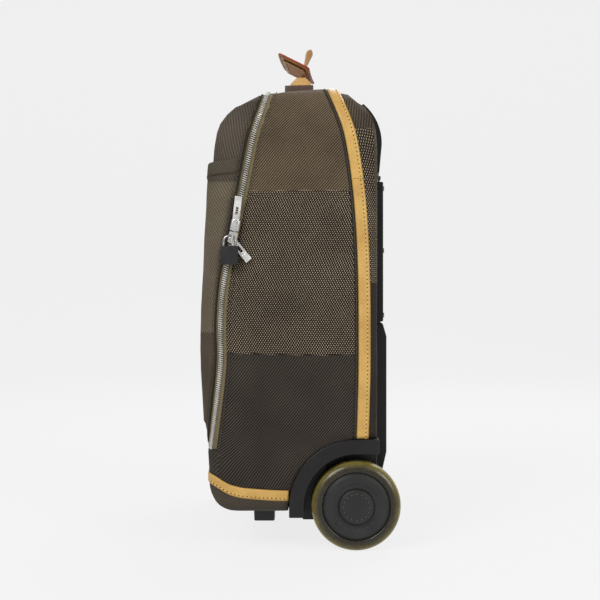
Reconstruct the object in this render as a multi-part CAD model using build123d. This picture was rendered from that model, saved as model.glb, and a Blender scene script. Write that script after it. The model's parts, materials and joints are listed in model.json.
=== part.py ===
from build123d import *
from math import atan2, degrees, hypot
import os

# A soft-sided rolling pilot case on two wheels and a front foot. Millimetres.
# X runs across the case, -Y is the front with the zipped lid, +Y is the back
# with the wheels and the trolley handle, and the floor is Z = 0.

# Bag
half_width = 182.0
base_z = 42.0
wall = 3.0
back_y = 90.0
corner_split_z = 462.0
hinge_y, hinge_z = -102.5, 112.0

# Zip: a straight stretch down the side, with a curved end above and below it
zip_top = (-48.7, 463.5)
zip_bottom = (-81.6, 300.0)
tape_edge, teeth_edge, teeth_gap = 8.0, 2.6, 0.5
teeth_in, teeth_out = 180.6, 183.6
pull_x, pull_thick = 186.75, 1.2

# Leather trims
trim_width, trim_thick = 13.5, 1.4

# Wheels
wheel_y, wheel_r = 65.8, 50.0
wheel_z = wheel_r
core_r, cap_r = 37.5, 19.8
tyre_x0, tyre_x1 = 156.0, 184.0
well_x = 146.0
arch_r, arch_in_r = 75.0, 58.5
axle_r = 4.0

# Trolley handle: three nested flat-oval tubes on each side
tube_x, tube_y = 58.0, 96.0
tube_sizes = {"outer": (24.0, 11.0), "mid": (21.8, 8.8), "inner": (19.6, 6.6)}
tube_wall = 0.9
button_axis = (0, -0.45, 0.893)
tube_spans = {"outer": (75.0, 424.0), "mid": (82.0, 427.0), "inner": (90.0, 435.0)}

# Carry handle and luggage tag
handle_y, handle_pin_z, handle_top_z = 3.0, 533.0, 552.0
handle_r = 7.5
tag_tilt, tag_turn = -27.0, -4.7

sides = {"right": 1, "left": -1}


def write(name, shape):
    export_step(shape, f"parts/{name}.step")


def block(x0, x1, y0, y1, z0, z1):
    centre = Pos((x0 + x1) / 2, (y0 + y1) / 2, (z0 + z1) / 2)
    return centre * Box(x1 - x0, y1 - y0, z1 - z0)


def rod_x(radius, x0, x1, y, z):
    return Pos((x0 + x1) / 2, y, z) * Rot(0, 90, 0) * Cylinder(radius, x1 - x0)


def prism_x(face, x0, x1):
    return Pos(x0, 0, 0) * extrude(Plane.YZ * face, amount=x1 - x0)


def prism_y(face, y0, y1):
    return Pos(0, y1, 0) * extrude(Plane.XZ * face, amount=y1 - y0)


def on_side(shape, side):
    """A shape made for the right-hand side, mirrored for the left."""
    return shape if side == "right" else mirror(shape, Plane.YZ)


def polygon(*points):
    return make_face(Polyline(*points, close=True))


def rounded(corners, radii):
    return make_face(FilletPolyline(*corners, radius=radii, close=True))


def hull(grow):
    """The left half of the bag's outer form, grown or shrunk evenly."""
    side = rounded(
        [(-97, base_z), (-103, 150), (-93.5, 510), (back_y, 529), (back_y, base_z)],
        [34, 300, 50, 62, 12],
    )
    front = rounded(
        [(-half_width, base_z), (half_width, base_z), (half_width, 526), (-half_width, 526)],
        [18, 18, 60, 60],
    )
    plan = rounded(
        [(-half_width, -103), (half_width, -103), (half_width, back_y), (-half_width, back_y)],
        [24, 24, 12, 12],
    )
    if grow:
        side, front, plan = (offset(face, grow) for face in (side, front, plan))
    return prism_x(side, -220, 0) & prism_y(front, -220, 220) & extrude(plan, amount=600)


def whole(half):
    return half + mirror(half, Plane.YZ)


def well(grow):
    """The space in the left lower back corner that a wheel housing fills."""
    r = arch_r + grow
    outline = make_face(
        Polyline((wheel_y - r, 0), (wheel_y - r, wheel_z))
        + RadiusArc((wheel_y - r, wheel_z), (wheel_y, wheel_z + r), r)
        + Polyline((wheel_y, wheel_z + r), (130, wheel_z + r), (130, 0), (wheel_y - r, 0))
    )
    return prism_x(outline, -220, grow - well_x)


def zip_edges(shift):
    """The zip's line on the side, moved by shift towards the back."""
    length = hypot(zip_top[0] - zip_bottom[0], zip_top[1] - zip_bottom[1])
    down = Vector(zip_bottom[0] - zip_top[0], zip_bottom[1] - zip_top[1]) / length
    across = Vector(-down.Y, down.X) * shift
    top, bottom = Vector(*zip_top) + across, Vector(*zip_bottom) + across
    above = [(-30 + shift, 545), (-33.5 + shift, 515), top]
    below = [bottom, (-85.4 + shift, 255), (-85.0 + shift, 212), (-90 + shift, 163), (-97.5 + shift, 108)]
    return [
        Spline(*above, tangents=[Vector(-0.1, -1), down]),
        Line(top, bottom),
        Spline(*below, tangents=[down, Vector(-0.16, -1)]),
    ]


def zip_band(from_shift, to_shift):
    """The strip of the side view between two lines parallel to the zip."""
    first, last = zip_edges(from_shift), zip_edges(to_shift)
    ends = [Line(first[0] @ 0, last[0] @ 0), Line(first[2] @ 1, last[2] @ 1)]
    return make_face(Curve() + first + last + ends)


def ahead_of_zip(shift):
    """Everything in front of a line parallel to the zip, down to the lid's hinge line."""
    edges = zip_edges(shift)
    top, bottom = edges[0] @ 0, edges[2] @ 1
    rest = Polyline(bottom, (-140, bottom.Y), (-140, top.Y), top)
    return make_face(Curve() + edges + [rest])


def trim_edges(shift):
    points = [(31, 560), (41, 518), (60, 460), (72, 360), (74.8, 220), (72, 100), (71, 30)]
    return Spline(*[(y + shift, z) for y, z in points])


def trim_band(from_shift, to_shift):
    first, last = trim_edges(from_shift), trim_edges(to_shift)
    return make_face(Curve() + [first, last, Line(first @ 0, last @ 0), Line(first @ 1, last @ 1)])


def below_band(rise):
    """Everything under a line parallel to the leather band round the base."""
    line = [(120, 60), (-10, 62), (-59, 65), (-77, 69.5), (-88, 76), (-100, 81), (-130, 85)]
    edge = Spline(*[(y, z + rise) for y, z in line])
    return make_face(Curve() + [edge, Polyline(edge @ 1, (-130, 0), (120, 0), edge @ 0)])


def zone(face):
    return prism_x(face, -220, 220)


outer, inner = hull(0), hull(-wall)
well_cut = well(0.2)
shell = outer - inner
under_band = zone(below_band(0))
behind_trim = zone(trim_band(0, 80))
front_strip = block(-220, 220, -140, -84, base_z, hinge_z - 1.4)


def bag_panels():
    """The sewn fabric panels, split where the real ones are seamed."""
    lid_zone = zone(ahead_of_zip(-tape_edge)) & block(-220, 220, -140, 60, hinge_z + 1.4, 600)
    lid = shell & lid_zone
    write("lid_panel", whole(lid))

    fixed = shell - zone(ahead_of_zip(tape_edge)) - under_band
    write("front_sill", whole((shell - under_band) & front_strip))
    fixed = fixed - front_strip - block(-220, 220, -140, -84, 0, hinge_z + 1.4)
    back = (fixed & behind_trim) - well_cut
    write("back_panel", whole(back))
    gusset = fixed - behind_trim - well_cut
    write("top_panel", whole(gusset & block(-220, 220, -140, 140, corner_split_z, 600)))
    side_panel = gusset & block(-220, -100, -140, 140, 0, corner_split_z)
    write("side_panel_left", side_panel)
    write("side_panel_right", mirror(side_panel, Plane.YZ))
    write("base_panel", whole((shell & under_band) - well_cut))


def boards_and_frame():
    """The stiffeners sewn in between the fabric and the lining."""
    lid_board = (hull(-wall - 0.2) - hull(-wall - 1.7)) & block(-156, 156, -120, -80, 130, 465)
    write("lid_board", whole(lid_board))
    write("back_board", block(-165, 165, 84.6, 86.8, 132, 455))
    write("base_board", block(-142, 142, -60, 76, base_z + wall + 0.2, base_z + wall + 2.6))
    r, x, z0, z1 = 2.0, half_width - wall - 3, 130.0, 511.0
    path = FilletPolyline((-x, 20, z0), (-x, 20, z1), (x, 20, z1), (x, 20, z0), radius=60)
    write("frame_hoop", sweep(Plane(path @ 0, z_dir=path % 0) * Circle(r), path=path))
    strap = block(62, 88, 82.8, 84.4, 150, 440)
    write("packing_straps", strap + mirror(strap, Plane.YZ))


def leather_trims():
    proud = hull(trim_thick) - hull(0.02)
    half = trim_width / 2
    trim = (proud & zone(trim_band(-half, half))) & block(-220, 220, -60, 120, 126, 600)
    write("back_trim", whole(trim))
    band = (proud & zone(below_band(6))) - zone(below_band(-6)) - well(0.4)
    write("base_band", whole(band & block(-220, 220, -140, wheel_y - arch_r - 0.4, 0, 200)))


def zip_rows():
    """Tape and teeth of both zip halves, following the bag's surface."""
    skin = {
        "tape": hull(-0.6) - hull(-1.8),
        "teeth": hull(teeth_out - half_width) - hull(teeth_in - half_width),
    }
    spans = {"tape": (teeth_edge, tape_edge), "teeth": (teeth_gap, teeth_edge)}
    above_sill = block(-220, 220, -140, 60, hinge_z + 6, 600)
    for part, (near, far) in spans.items():
        write(f"zip_{part}_case", whole(skin[part] & zone(zip_band(near, far)) & above_sill))
        write(f"zip_{part}_lid", whole(skin[part] & zone(zip_band(-far, -near)) & above_sill))


def front_pocket():
    """The pocket's outer layer, held off the lid to leave room for papers."""
    top_z, bottom_z, cloth = 431.0, 120.0, 1.5
    corners = [(-101.6, top_z + 20), (-116.5, 235), (-104.2, 90), (0, 90), (0, top_z + 20)]
    curve = rounded(corners, [1, 170, 1, 1, 1])
    cover = prism_x(curve, -half_width - 1.6, 0)
    plan = rounded([(-half_width - 1.6, -116), (half_width + 1.6, -116),
                    (half_width + 1.6, 60), (-half_width - 1.6, 60)], [26, 26, 1, 1])
    cover = cover & extrude(plan, amount=600)
    inner_plan = extrude(offset(plan, -cloth), amount=600)
    room = prism_x(offset(curve, -cloth), -half_width - 0.1, 0) & inner_plan
    layer = (cover - room) & zone(ahead_of_zip(-tape_edge - 0.5))
    hem_z = top_z - 16
    write("pocket_panel", whole(layer & block(-220, 220, -140, 0, bottom_z, hem_z)))
    write("pocket_hem", whole(layer & block(-220, 220, -140, 0, hem_z, top_z)))


def wheel_housings():
    r, r_in = arch_r, arch_in_r
    outline = make_face(
        Polyline((wheel_y - r_in, 38), (wheel_y - r, 38), (wheel_y - r, wheel_z))
        + RadiusArc((wheel_y - r, wheel_z), (wheel_y, wheel_z + r), r)
        + Polyline((wheel_y, wheel_z + r), (back_y + 1, wheel_z + r), (back_y + 1, wheel_z + r_in),
                   (wheel_y, wheel_z + r_in))
        + RadiusArc((wheel_y, wheel_z + r_in), (wheel_y - r_in, wheel_z), -r_in)
        + Line((wheel_y - r_in, wheel_z), (wheel_y - r_in, 38))
    )
    arch = prism_x(outline, well_x, half_width + 4)
    inside = polygon((wheel_y - r_in, 38), (wheel_y - r_in, wheel_z + r_in),
                     (back_y + 1, wheel_z + r_in), (back_y + 1, 38))
    plate = prism_x(inside, well_x, well_x + 3)
    boss = rod_x(11, well_x + 3, well_x + 6, wheel_y, wheel_z)
    housing = arch + plate + boss - rod_x(axle_r + 0.1, 130, 170, wheel_y, wheel_z)
    for side in sides:
        write(f"wheel_housing_{side}", on_side(housing, side))


def wheels():
    shoulder = 9
    mid_x = (tyre_x0 + tyre_x1) / 2
    half_tyre = (tyre_x1 - tyre_x0) / 2
    tread = rounded([(core_r, -half_tyre), (wheel_r, -half_tyre), (wheel_r, half_tyre),
                     (core_r, half_tyre)], [1, shoulder, shoulder, 1])
    tyre = Pos(mid_x, 0, 0) * Rot(0, 90, 0) * revolve(Plane.XZ * tread, Axis.Z)
    steps = polygon((11.0, -12), (34, -12), (core_r, -9), (core_r, 12), (34, 15),
                    (27, 15), (25, 13.5), (cap_r + 0.2, 13.5), (cap_r + 0.2, 9), (11.0, 9))
    core = Pos(mid_x, 0, 0) * Rot(0, 90, 0) * revolve(Plane.XZ * steps, Axis.Z)
    cap = Rot(0, 90, 0) * Pos(0, 0, mid_x) * revolve(
        Plane.XZ * polygon((0, 12), (cap_r, 12), (cap_r, 15.5), (cap_r - 2, 17.5), (0, 17.5)), Axis.Z)
    cap = cap + (rod_x(cap_r, mid_x + 9, mid_x + 12, 0, 0) - rod_x(14, mid_x + 8, mid_x + 12, 0, 0))
    race = rod_x(11, 0, 7, 0, 0) - rod_x(axle_r + 0.05, -1, 8, 0, 0)
    bearings = Pos(mid_x - 10, 0, 0) * race + Pos(mid_x + 1, 0, 0) * race
    pieces = {"tyre": tyre, "wheel_core": core, "hub_cap": cap, "bearings": bearings}
    for side in sides:
        for name, piece in pieces.items():
            write(f"{name}_{side}", on_side(Pos(0, wheel_y, wheel_z) * piece, side))

    shaft = rod_x(axle_r, well_x, mid_x + 10.5, wheel_y, wheel_z)
    head = Pos(well_x - 2.5, wheel_y, wheel_z) * Rot(0, 90, 0) * extrude(
        RegularPolygon(4.9, 6), amount=2.5)
    axle = shaft + head
    write("wheel_axles", axle + mirror(axle, Plane.YZ))
    ring = rod_x(7, mid_x + 8.2, mid_x + 10.2, wheel_y, wheel_z) - rod_x(
        axle_r, mid_x + 8, mid_x + 11, wheel_y, wheel_z)
    write("axle_rings", ring + mirror(ring, Plane.YZ))


def tube_section(stage, inset=0.0):
    width, depth = tube_sizes[stage]
    return SlotOverall(width - 2 * inset, depth - 2 * inset)


def trolley_tubes():
    for stage, (z0, z1) in tube_spans.items():
        section = tube_section(stage) - tube_section(stage, tube_wall)
        tube = Pos(tube_x, tube_y, z0) * extrude(section, amount=z1 - z0)
        for side in sides:
            write(f"{stage}_tube_{side}", on_side(tube, side))
    collar = Pos(tube_x, tube_y, 427.0) * extrude(tube_section("outer") - tube_section("inner", -0.2),
                                                  amount=4)
    write("mid_collars", collar + mirror(collar, Plane.YZ))


def channel(width, depth, z0, z1):
    """Room for the outer tube of one side, open towards the back panel."""
    body = block(tube_x - width / 2, tube_x + width / 2, back_y - 2, tube_y + depth / 2, z0, z1)
    return body + mirror(body, Plane.YZ)


def back_hardware():
    y0 = back_y + 0.2
    room = channel(24.4, 11.4, 60, 430)
    upper = block(-80, 80, y0, 103.4, 254, 423) - room
    upper = upper - block(-40, 40, 98, 110, 266, 411)
    write("back_housing", upper)
    skid_face = polygon((y0, 74), (y0, 252), (103.4, 252), (108, 236), (108, 96), (103, 74))
    skid = prism_x(skid_face, tube_x - 15, tube_x + 15)
    for side in sides:
        write(f"skid_{side}", on_side(skid - room, side))
    screw = Pos(0, 103.4, 0) * Rot(-90, 0, 0) * Cylinder(3.2, 1.4)
    spots = [(-75.5, 262), (-75.5, 340), (-75.5, 415), (75.5, 262), (75.5, 340), (75.5, 415)]
    write("housing_screws", Part() + [Pos(x, 0.7, z) * screw for x, z in spots])


def trolley_grip():
    """A bow that follows the case's rounded shoulder, with a push button under its bar."""
    outline = make_face(
        Polyline((93.2, 435), (99.4, 435), (101.8, 462))
        + ThreePointArc((101.8, 462), (97.5, 495), (80, 518.5))
        + Line((80, 518.5), (73.6, 513.5))
        + ThreePointArc((73.6, 513.5), (91, 490), (94.8, 462))
        + Line((94.8, 462), (93.2, 435))
    )
    bow = prism_x(outline, -70, 70) - block(-46, 46, 60, 120, 430, 494)
    plug = Pos(tube_x, tube_y, 425) * extrude(tube_section("inner", tube_wall + 0.02), amount=10)
    bow = bow + plug + mirror(plug, Plane.YZ)
    along = Plane(origin=(0, 93.5, 494.6), x_dir=(1, 0, 0), z_dir=button_axis)
    write("grip", bow - along * Pos(0, 0, 3) * Box(32.6, 4.4, 10))
    write("grip_button", along * Pos(0, 0, 0.8) * Box(32, 4.0, 6.4))


def front_foot():
    outline = polygon((-40, base_z - 0.1), (-14, 0), (14, 0), (40, base_z - 0.1))
    foot = prism_y(outline, -55, -29)
    write("front_foot", foot)
    bolt = Cylinder(3.5, 4)
    write("foot_bolts", Part() + [Pos(x, -42, base_z + wall + 4.8) * bolt for x in (-22, 22)])


def slider_plane(drop):
    """On the zip's straight stretch, drop mm above its lower end: x up the zip, z outward."""
    up = Vector(0, zip_top[0] - zip_bottom[0], zip_top[1] - zip_bottom[1]).normalized()
    start = Vector(0, *zip_bottom)
    return Plane(origin=start + up * drop, x_dir=up, z_dir=(1, 0, 0))


def zip_pull(angle):
    """A slotted bar with a ring at its foot, turned about the ring in the side's plane."""
    ring = Cylinder(4.6, pull_thick)
    bar = Pos(14, 0, 0) * Box(20, 5.0, pull_thick) + Pos(25, 0, 0) * Box(9, 8.6, pull_thick)
    slot = Pos(20.5, 0, 0) * Box(11, 2.6, 3)
    pull = ring + bar - slot - Cylinder(2.2, 3)
    return Rot(0, 0, angle) * pull


def zip_sliders():
    spots = {"upper": 64.0, "lower": 50.5}
    turns = {"upper": 5.0, "lower": 180 + 51.0}
    for name, drop in spots.items():
        base = slider_plane(drop)
        bail_top = 190.6 if name == "upper" else 193.6
        leg_x = 3.2
        plates = Pos(0, 0, 185.0) * Box(12, 9.6, 1.8) + Pos(0, 0, 179.1) * Box(12, 9.6, 1.8)
        neck = Pos(0, 0, 182) * Box(5, 0.6, 6)
        legs = [Pos(x, 0, (185 + bail_top) / 2) * Cylinder(0.9, bail_top - 185) for x in (-leg_x, leg_x)]
        bar = Pos(0, 0, bail_top - 0.7) * Box(2 * leg_x + 1.8, 1.8, 1.6)
        slider = plates + neck + legs + bar
        write(f"zip_slider_{name}", base * slider)
        ring_at = leg_x if name == "upper" else -leg_x
        write(f"zip_pull_{name}", base * Pos(ring_at, 0, pull_x) * zip_pull(turns[name]))


def padlock():
    """Hangs plumb from the lower slider's bail, its shackle in the side's plane."""
    x = 190.6
    eye = slider_plane(50.5).origin
    top_z, leg = eye.Z + 1.4, 6.6
    right_y = eye.Y + 3.2
    arch_z = top_z - leg
    path = (
        Line((x, right_y, arch_z - 10), (x, right_y, arch_z))
        + ThreePointArc((x, right_y, arch_z), (x, right_y - leg, top_z), (x, right_y - 2 * leg, arch_z))
        + Line((x, right_y - 2 * leg, arch_z), (x, right_y - 2 * leg, arch_z - 10))
    )
    shackle = sweep(Plane(path @ 0, z_dir=path % 0) * Circle(1.2), path=path)
    write("padlock_shackle", shackle)
    mid_y, body_top = right_y - leg, arch_z - 4.5
    body = Pos(x, mid_y, body_top - 10.3) * Box(6.0, 19.2, 20.6)
    body = fillet(body.edges().filter_by(Axis.X), 2.2)
    holes = [Pos(x, mid_y + s * leg, body_top - 3) * Cylinder(1.3, 10) for s in (-1, 1)]
    write("padlock_body", body - holes)


def carry_handle():
    pin_x, end_x = 82.0, 80.0
    path = ThreePointArc((-end_x, handle_y, handle_pin_z), (0, handle_y, handle_top_z),
                         (end_x, handle_y, handle_pin_z))
    grip = sweep(Plane(path @ 0, z_dir=path % 0) * Circle(handle_r), path=path)
    grip = grip & block(-end_x, end_x, -60, 60, 500, 600)
    pins = rod_x(2.05, 68, 84, handle_y, handle_pin_z)
    grip = grip - pins - mirror(pins, Plane.YZ)
    write("carry_handle", grip)
    slope = degrees(atan2(529 - 510, back_y + 93.5))
    roof_z = 510 + (handle_y + 93.5) * (529 - 510) / (back_y + 93.5)
    lie = Pos(100, handle_y, roof_z + 1.2) * Rot(slope, 0, 0)
    plate = lie * Box(56, 35, 2.0)
    post = Pos(pin_x + 5, handle_y, 0) * block(-4, 4, -6, 6, roof_z + 1.6, handle_pin_z + 6)
    post = post - lie * Box(60, 40, 2.0) + rod_x(2.0, 69, pin_x + 2, handle_y, handle_pin_z)
    write("handle_patches", plate + mirror(plate, Plane.YZ))
    write("handle_chapes", post + mirror(post, Plane.YZ))


def luggage_tag():
    centre = Pos(0, -1.4, 574.7)
    tilt = Rot(0, 0, tag_turn) * Rot(tag_tilt, 0, 0)
    lean = Pos(0, handle_y, handle_top_z) * Rot(-14.9, 0, 0)
    strap = lean * (Pos(0, 0, 29) * Box(12, 1.8, 34) + Pos(0, 0, 10.4) * Box(12, 1.8, 3.6))
    tip = lean * Pos(0, 0, 46) * extrude(Plane.XZ * polygon((-6, 0), (6, 0), (0, 4.5)), amount=0.9, both=True)
    loop = rod_x(handle_r + 2.6, -6, 6, handle_y, handle_top_z) - rod_x(
        handle_r + 0.9, -7, 7, handle_y, handle_top_z)
    window = centre * tilt * Pos(0, 0, -2.1) * (Box(76, 30, 1.0) - Box(62, 20, 3))
    strap_room = lean * Pos(0, 0, 29) * Box(12.4, 2.2, 60)
    panel = centre * tilt * Box(98, 43, 3.0) - strap_room
    write("tag_strap", strap + tip + loop)
    write("tag_panel", panel)
    write("tag_window", window - strap_room)
    stud = lean * Pos(0, 1.9, 13.5) * Rot(90, 0, 0) * Cylinder(1.6, 2.0)
    write("tag_stud", stud)


os.makedirs("parts", exist_ok=True)
bag_panels()
boards_and_frame()
leather_trims()
zip_rows()
front_pocket()
wheel_housings()
wheels()
trolley_tubes()
back_hardware()
trolley_grip()
front_foot()
zip_sliders()
padlock()
carry_handle()
luggage_tag()
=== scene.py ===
import bpy
import bmesh
import json
import math
import time
from mathutils import Matrix, Vector, noise
from mathutils.bvhtree import BVHTree


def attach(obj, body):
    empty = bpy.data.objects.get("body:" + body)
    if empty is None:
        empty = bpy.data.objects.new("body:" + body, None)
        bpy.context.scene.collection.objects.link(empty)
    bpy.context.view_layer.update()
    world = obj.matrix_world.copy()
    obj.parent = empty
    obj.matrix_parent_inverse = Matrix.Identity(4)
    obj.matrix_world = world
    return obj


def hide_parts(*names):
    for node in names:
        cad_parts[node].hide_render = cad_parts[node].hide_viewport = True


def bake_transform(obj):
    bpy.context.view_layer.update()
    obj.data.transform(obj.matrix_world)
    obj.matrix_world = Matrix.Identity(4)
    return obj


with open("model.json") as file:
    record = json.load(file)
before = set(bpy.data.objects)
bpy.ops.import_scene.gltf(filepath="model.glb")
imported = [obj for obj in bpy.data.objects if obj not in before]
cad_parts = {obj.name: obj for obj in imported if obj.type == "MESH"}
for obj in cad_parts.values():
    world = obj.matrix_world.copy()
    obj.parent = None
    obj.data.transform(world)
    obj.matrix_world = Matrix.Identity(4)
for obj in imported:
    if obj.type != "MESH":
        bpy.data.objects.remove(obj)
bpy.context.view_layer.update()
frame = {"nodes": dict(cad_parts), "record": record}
mm = 0.001
scene = bpy.context.scene

# small tools


started = time.time()


def say(words):
    print(f"case {time.time() - started:5.1f} s: {words}", flush=True)


def meshObject(name, bm):
    mesh = bpy.data.meshes.new(name)
    bm.to_mesh(mesh)
    bm.free()
    obj = bpy.data.objects.new(name, mesh)
    scene.collection.objects.link(obj)
    return obj


def smoothShade(obj):
    for face in obj.data.polygons:
        face.use_smooth = True
    return obj


def baked(obj):
    # applies the modifiers and leaves a plain mesh
    bpy.context.view_layer.update()
    graph = bpy.context.evaluated_depsgraph_get()
    mesh = bpy.data.meshes.new_from_object(obj.evaluated_get(graph))
    obj.modifiers.clear()
    obj.data = mesh
    return obj


def addModifier(obj, kind, **values):
    modifier = obj.modifiers.new(kind.lower(), kind)
    for key, value in values.items():
        setattr(modifier, key, value)
    return modifier


def finish(obj, body, slotName, replaced=(), materials=()):
    for material in materials:
        obj.data.materials.append(material)
    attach(obj, body)
    if replaced:
        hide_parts(*replaced)
    return obj


def lineThrough(points):
    # a smooth line through (place, value) pairs, listed with the place falling
    def value(z):
        if z >= points[0][0]:
            return points[0][1]
        for i in range(len(points) - 1):
            (z0, y0), (z1, y1) = points[i], points[i + 1]
            if z >= z1:
                before = points[max(i - 1, 0)]
                after = points[min(i + 2, len(points) - 1)]
                slope0 = (y1 - before[1]) / (z1 - before[0])
                slope1 = (after[1] - y0) / (after[0] - z0)
                span, t = z1 - z0, (z - z0) / (z1 - z0)
                h00, h10 = 2 * t**3 - 3 * t**2 + 1, t**3 - 2 * t**2 + t
                h01, h11 = -2 * t**3 + 3 * t**2, t**3 - t**2
                return h00 * y0 + h10 * span * slope0 + h01 * y1 + h11 * span * slope1
        return points[-1][1]
    return value


# the bag's lines

zipY = lineThrough([(545, -30), (515, -33.5), (463.5, -48.7), (420, -57.45), (340, -73.55), (300, -81.6),
                    (255, -85.4), (212, -85), (163, -90), (108, -97.5)])
trimY = lineThrough([(560, 31), (518, 41), (460, 60), (360, 72), (220, 74.8), (100, 72), (30, 71)])
wheelAt = Vector((170, 65.8, 50))
archRadius = 75.0
lidLow, sillTop = 113.0, 112.2


def archY(z):
    # front face of the wheel housing's arch, a little inside it
    drop = max(z - wheelAt.z, 0)
    return wheelAt.y - math.sqrt(max((archRadius - 1) ** 2 - drop**2, 0))


def backEdgeY(z):
    return trimY(z) if z > wheelAt.z + archRadius - 1 else min(archY(z), trimY(z))


# middle of the leather band round the base
bandZ = lineThrough([(120, 60), (-10, 62), (-59, 65), (-77, 69.5), (-88, 76), (-100, 81), (-130, 85)])


# the stuffed form

formStyle = {"rounding": 24, "voxel": 6.0, "pressure": 4.0, "frames": 20, "cap": 5.0, "seam": 9.0, "slope": 6.0}
panelNodes = ["side_panel_right", "side_panel_left", "top_panel", "back_panel", "front_sill",
              "base_panel", "lid_panel"]
pocketNodes = ["pocket_panel", "pocket_hem"]


def onSeam(p):
    # seams, the zip and the hard-backed faces hold the cloth still
    z, y = p.z, p.y
    reach = formStyle["seam"]
    if z < 128 or y > 80 or y < -80 or abs(y - trimY(z)) < reach or abs(y - zipY(z)) < reach:
        return True
    return z > 500 and abs(p.x) < 135 and -20 < y < 26


def stuffedForm(name, nodes):
    # the bag's outer form, filled out by a cloth simulation between its seams
    bm = bmesh.new()
    for node in nodes:
        for vertex in frame["nodes"][node].data.vertices:
            bm.verts.new(vertex.co)
    hull = bmesh.ops.convex_hull(bm, input=bm.verts)
    keep = {f for f in hull["geom"] if isinstance(f, bmesh.types.BMFace)}
    loose = [v for v in bm.verts if not any(f in keep for f in v.link_faces)]
    bmesh.ops.delete(bm, geom=loose, context="VERTS")
    bmesh.ops.recalc_face_normals(bm, faces=bm.faces)
    form = meshObject(name, bm)
    addModifier(form, "REMESH", mode="VOXEL", voxel_size=formStyle["voxel"] * mm)
    baked(form)
    # the shoulder over the lid is rounded, with no fold line across it
    shoulder = form.vertex_groups.new(name="shoulder")
    for vertex in form.data.vertices:
        p = vertex.co / mm
        weight = min(max((p.z - 400) / 40, 0), 1) * min(max((-44 - p.y) / 24, 0), 1)
        shoulder.add([vertex.index], weight, "REPLACE")
    addModifier(form, "SMOOTH", factor=0.5, iterations=formStyle["rounding"], vertex_group="shoulder")
    baked(form)
    start = [v.co.copy() for v in form.data.vertices]
    held = form.vertex_groups.new(name="held")
    held.add([i for i, p in enumerate(start) if onSeam(p / mm)], 1.0, "REPLACE")
    cloth = addModifier(form, "CLOTH")
    cloth.settings.use_pressure = True
    cloth.settings.uniform_pressure_force = formStyle["pressure"]
    cloth.settings.vertex_group_mass = "held"
    cloth.settings.effector_weights.gravity = 0
    cloth.point_cache.frame_start, cloth.point_cache.frame_end = 1, formStyle["frames"]
    for step in range(1, formStyle["frames"] + 1):
        scene.frame_set(step)
    baked(form)
    scene.frame_set(1)
    cap = formStyle["cap"] * mm
    for vertex, home in zip(form.data.vertices, start):
        move = vertex.co - home
        if move.length > cap:
            vertex.co = home + move.normalized() * cap
        high = min(max((vertex.co.z / mm - 445) / 55, 0), 1)
        ahead = min(max((-34 - vertex.co.y / mm) / 26, 0), 1)
        vertex.co += Vector((0, 0.62, -0.78)) * formStyle["slope"] * high * ahead * mm
    bm = bmesh.new()
    bm.from_mesh(form.data)
    tree = BVHTree.FromBMesh(bm)
    bm.free()
    bpy.data.objects.remove(form)
    return tree


say("stuffing the bag's form")
bagForm = stuffedForm("bagForm", panelNodes)
pocketForm = stuffedForm("pocketForm", panelNodes + pocketNodes)

# points on the form

core = {"half": 130.0, "top": 440.0, "round": 40.0, "front": -50.0, "back": 30.0, "arc": 60.0}


def coreMap(u, v):
    # a square grid drawn into a frame with rounded upper corners
    straightX, straightZ = core["half"] - core["round"], core["top"] - core["round"]
    a, b = (abs(u) - straightX) / core["round"], (v - straightZ) / core["round"]
    if a <= 0 or b <= 0:
        return u, v
    x = straightX + core["round"] * a * math.sqrt(1 - b * b / 2)
    z = straightZ + core["round"] * b * math.sqrt(1 - a * a / 2)
    return math.copysign(x, u), z


def coreSample(u, share=None, v=None):
    # a place on the core's frame: share runs up the straight side, v is a fixed height
    height = core["top"] - core["round"] if v is None else v
    x, z = coreMap(u, height)
    straightX, straightZ = core["half"] - core["round"], core["top"] - core["round"]
    if abs(u) > straightX and height > straightZ:
        away = Vector((x - math.copysign(straightX, u), 0, z - straightZ)).normalized()
    elif height >= core["top"] - 1e-6:
        away = Vector((0, 0, 1))
    else:
        away = Vector((math.copysign(1, u), 0, 0))
    return {"x": x, "z": z, "away": away, "share": share}


def coreLoop(sides, corner, top):
    # samples up the right side, over the top and down the left side
    straightX, straightZ = core["half"] - core["round"], core["top"] - core["round"]
    right = [coreSample(core["half"], share=i / sides) for i in range(sides)]
    right += [coreSample(core["half"], v=straightZ + core["round"] * i / corner) for i in range(corner + 1)]
    right += [coreSample(straightX + core["round"] * (1 - i / corner), v=core["top"])
              for i in range(1, corner)]
    right += [coreSample(straightX * (1 - i / top), v=core["top"]) for i in range(top + 1)]
    left = []
    for s in reversed(right[:-1]):
        flipped = Vector((-s["away"].x, 0, s["away"].z))
        left.append({"x": -s["x"], "z": s["z"], "away": flipped, "share": s["share"]})
    return right + left


def castOn(form, origin, direction):
    hit, normal, _, _ = form.ray_cast((origin + direction * 300) * mm, -direction)
    if hit is None:
        return origin + direction * 50, direction
    return hit / mm, normal


def skinAt(sample, depth, low, form):
    # depth runs front to back: past the core's front or back it turns round the bag's edge
    turn, away = 0.0, sample["away"]
    y = min(max(depth, core["front"]), core["back"])
    if depth < core["front"]:
        turn, ahead = (core["front"] - depth) / core["arc"] * math.pi / 2, Vector((0, -1, 0))
    elif depth > core["back"]:
        turn, ahead = (depth - core["back"]) / core["arc"] * math.pi / 2, Vector((0, 1, 0))
    direction = away if turn == 0 else away * math.cos(turn) + ahead * math.sin(turn)
    straightZ = core["top"] - core["round"]
    z, hit = sample["z"], None
    for _ in range(3 if sample["share"] is not None else 1):
        if sample["share"] is not None:
            floor = low(y if hit is None else hit.y)
            z = floor + (straightZ - floor) * sample["share"]
        hit, normal = castOn(form, Vector((sample["x"], y, z)), direction)
    return hit, normal


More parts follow.
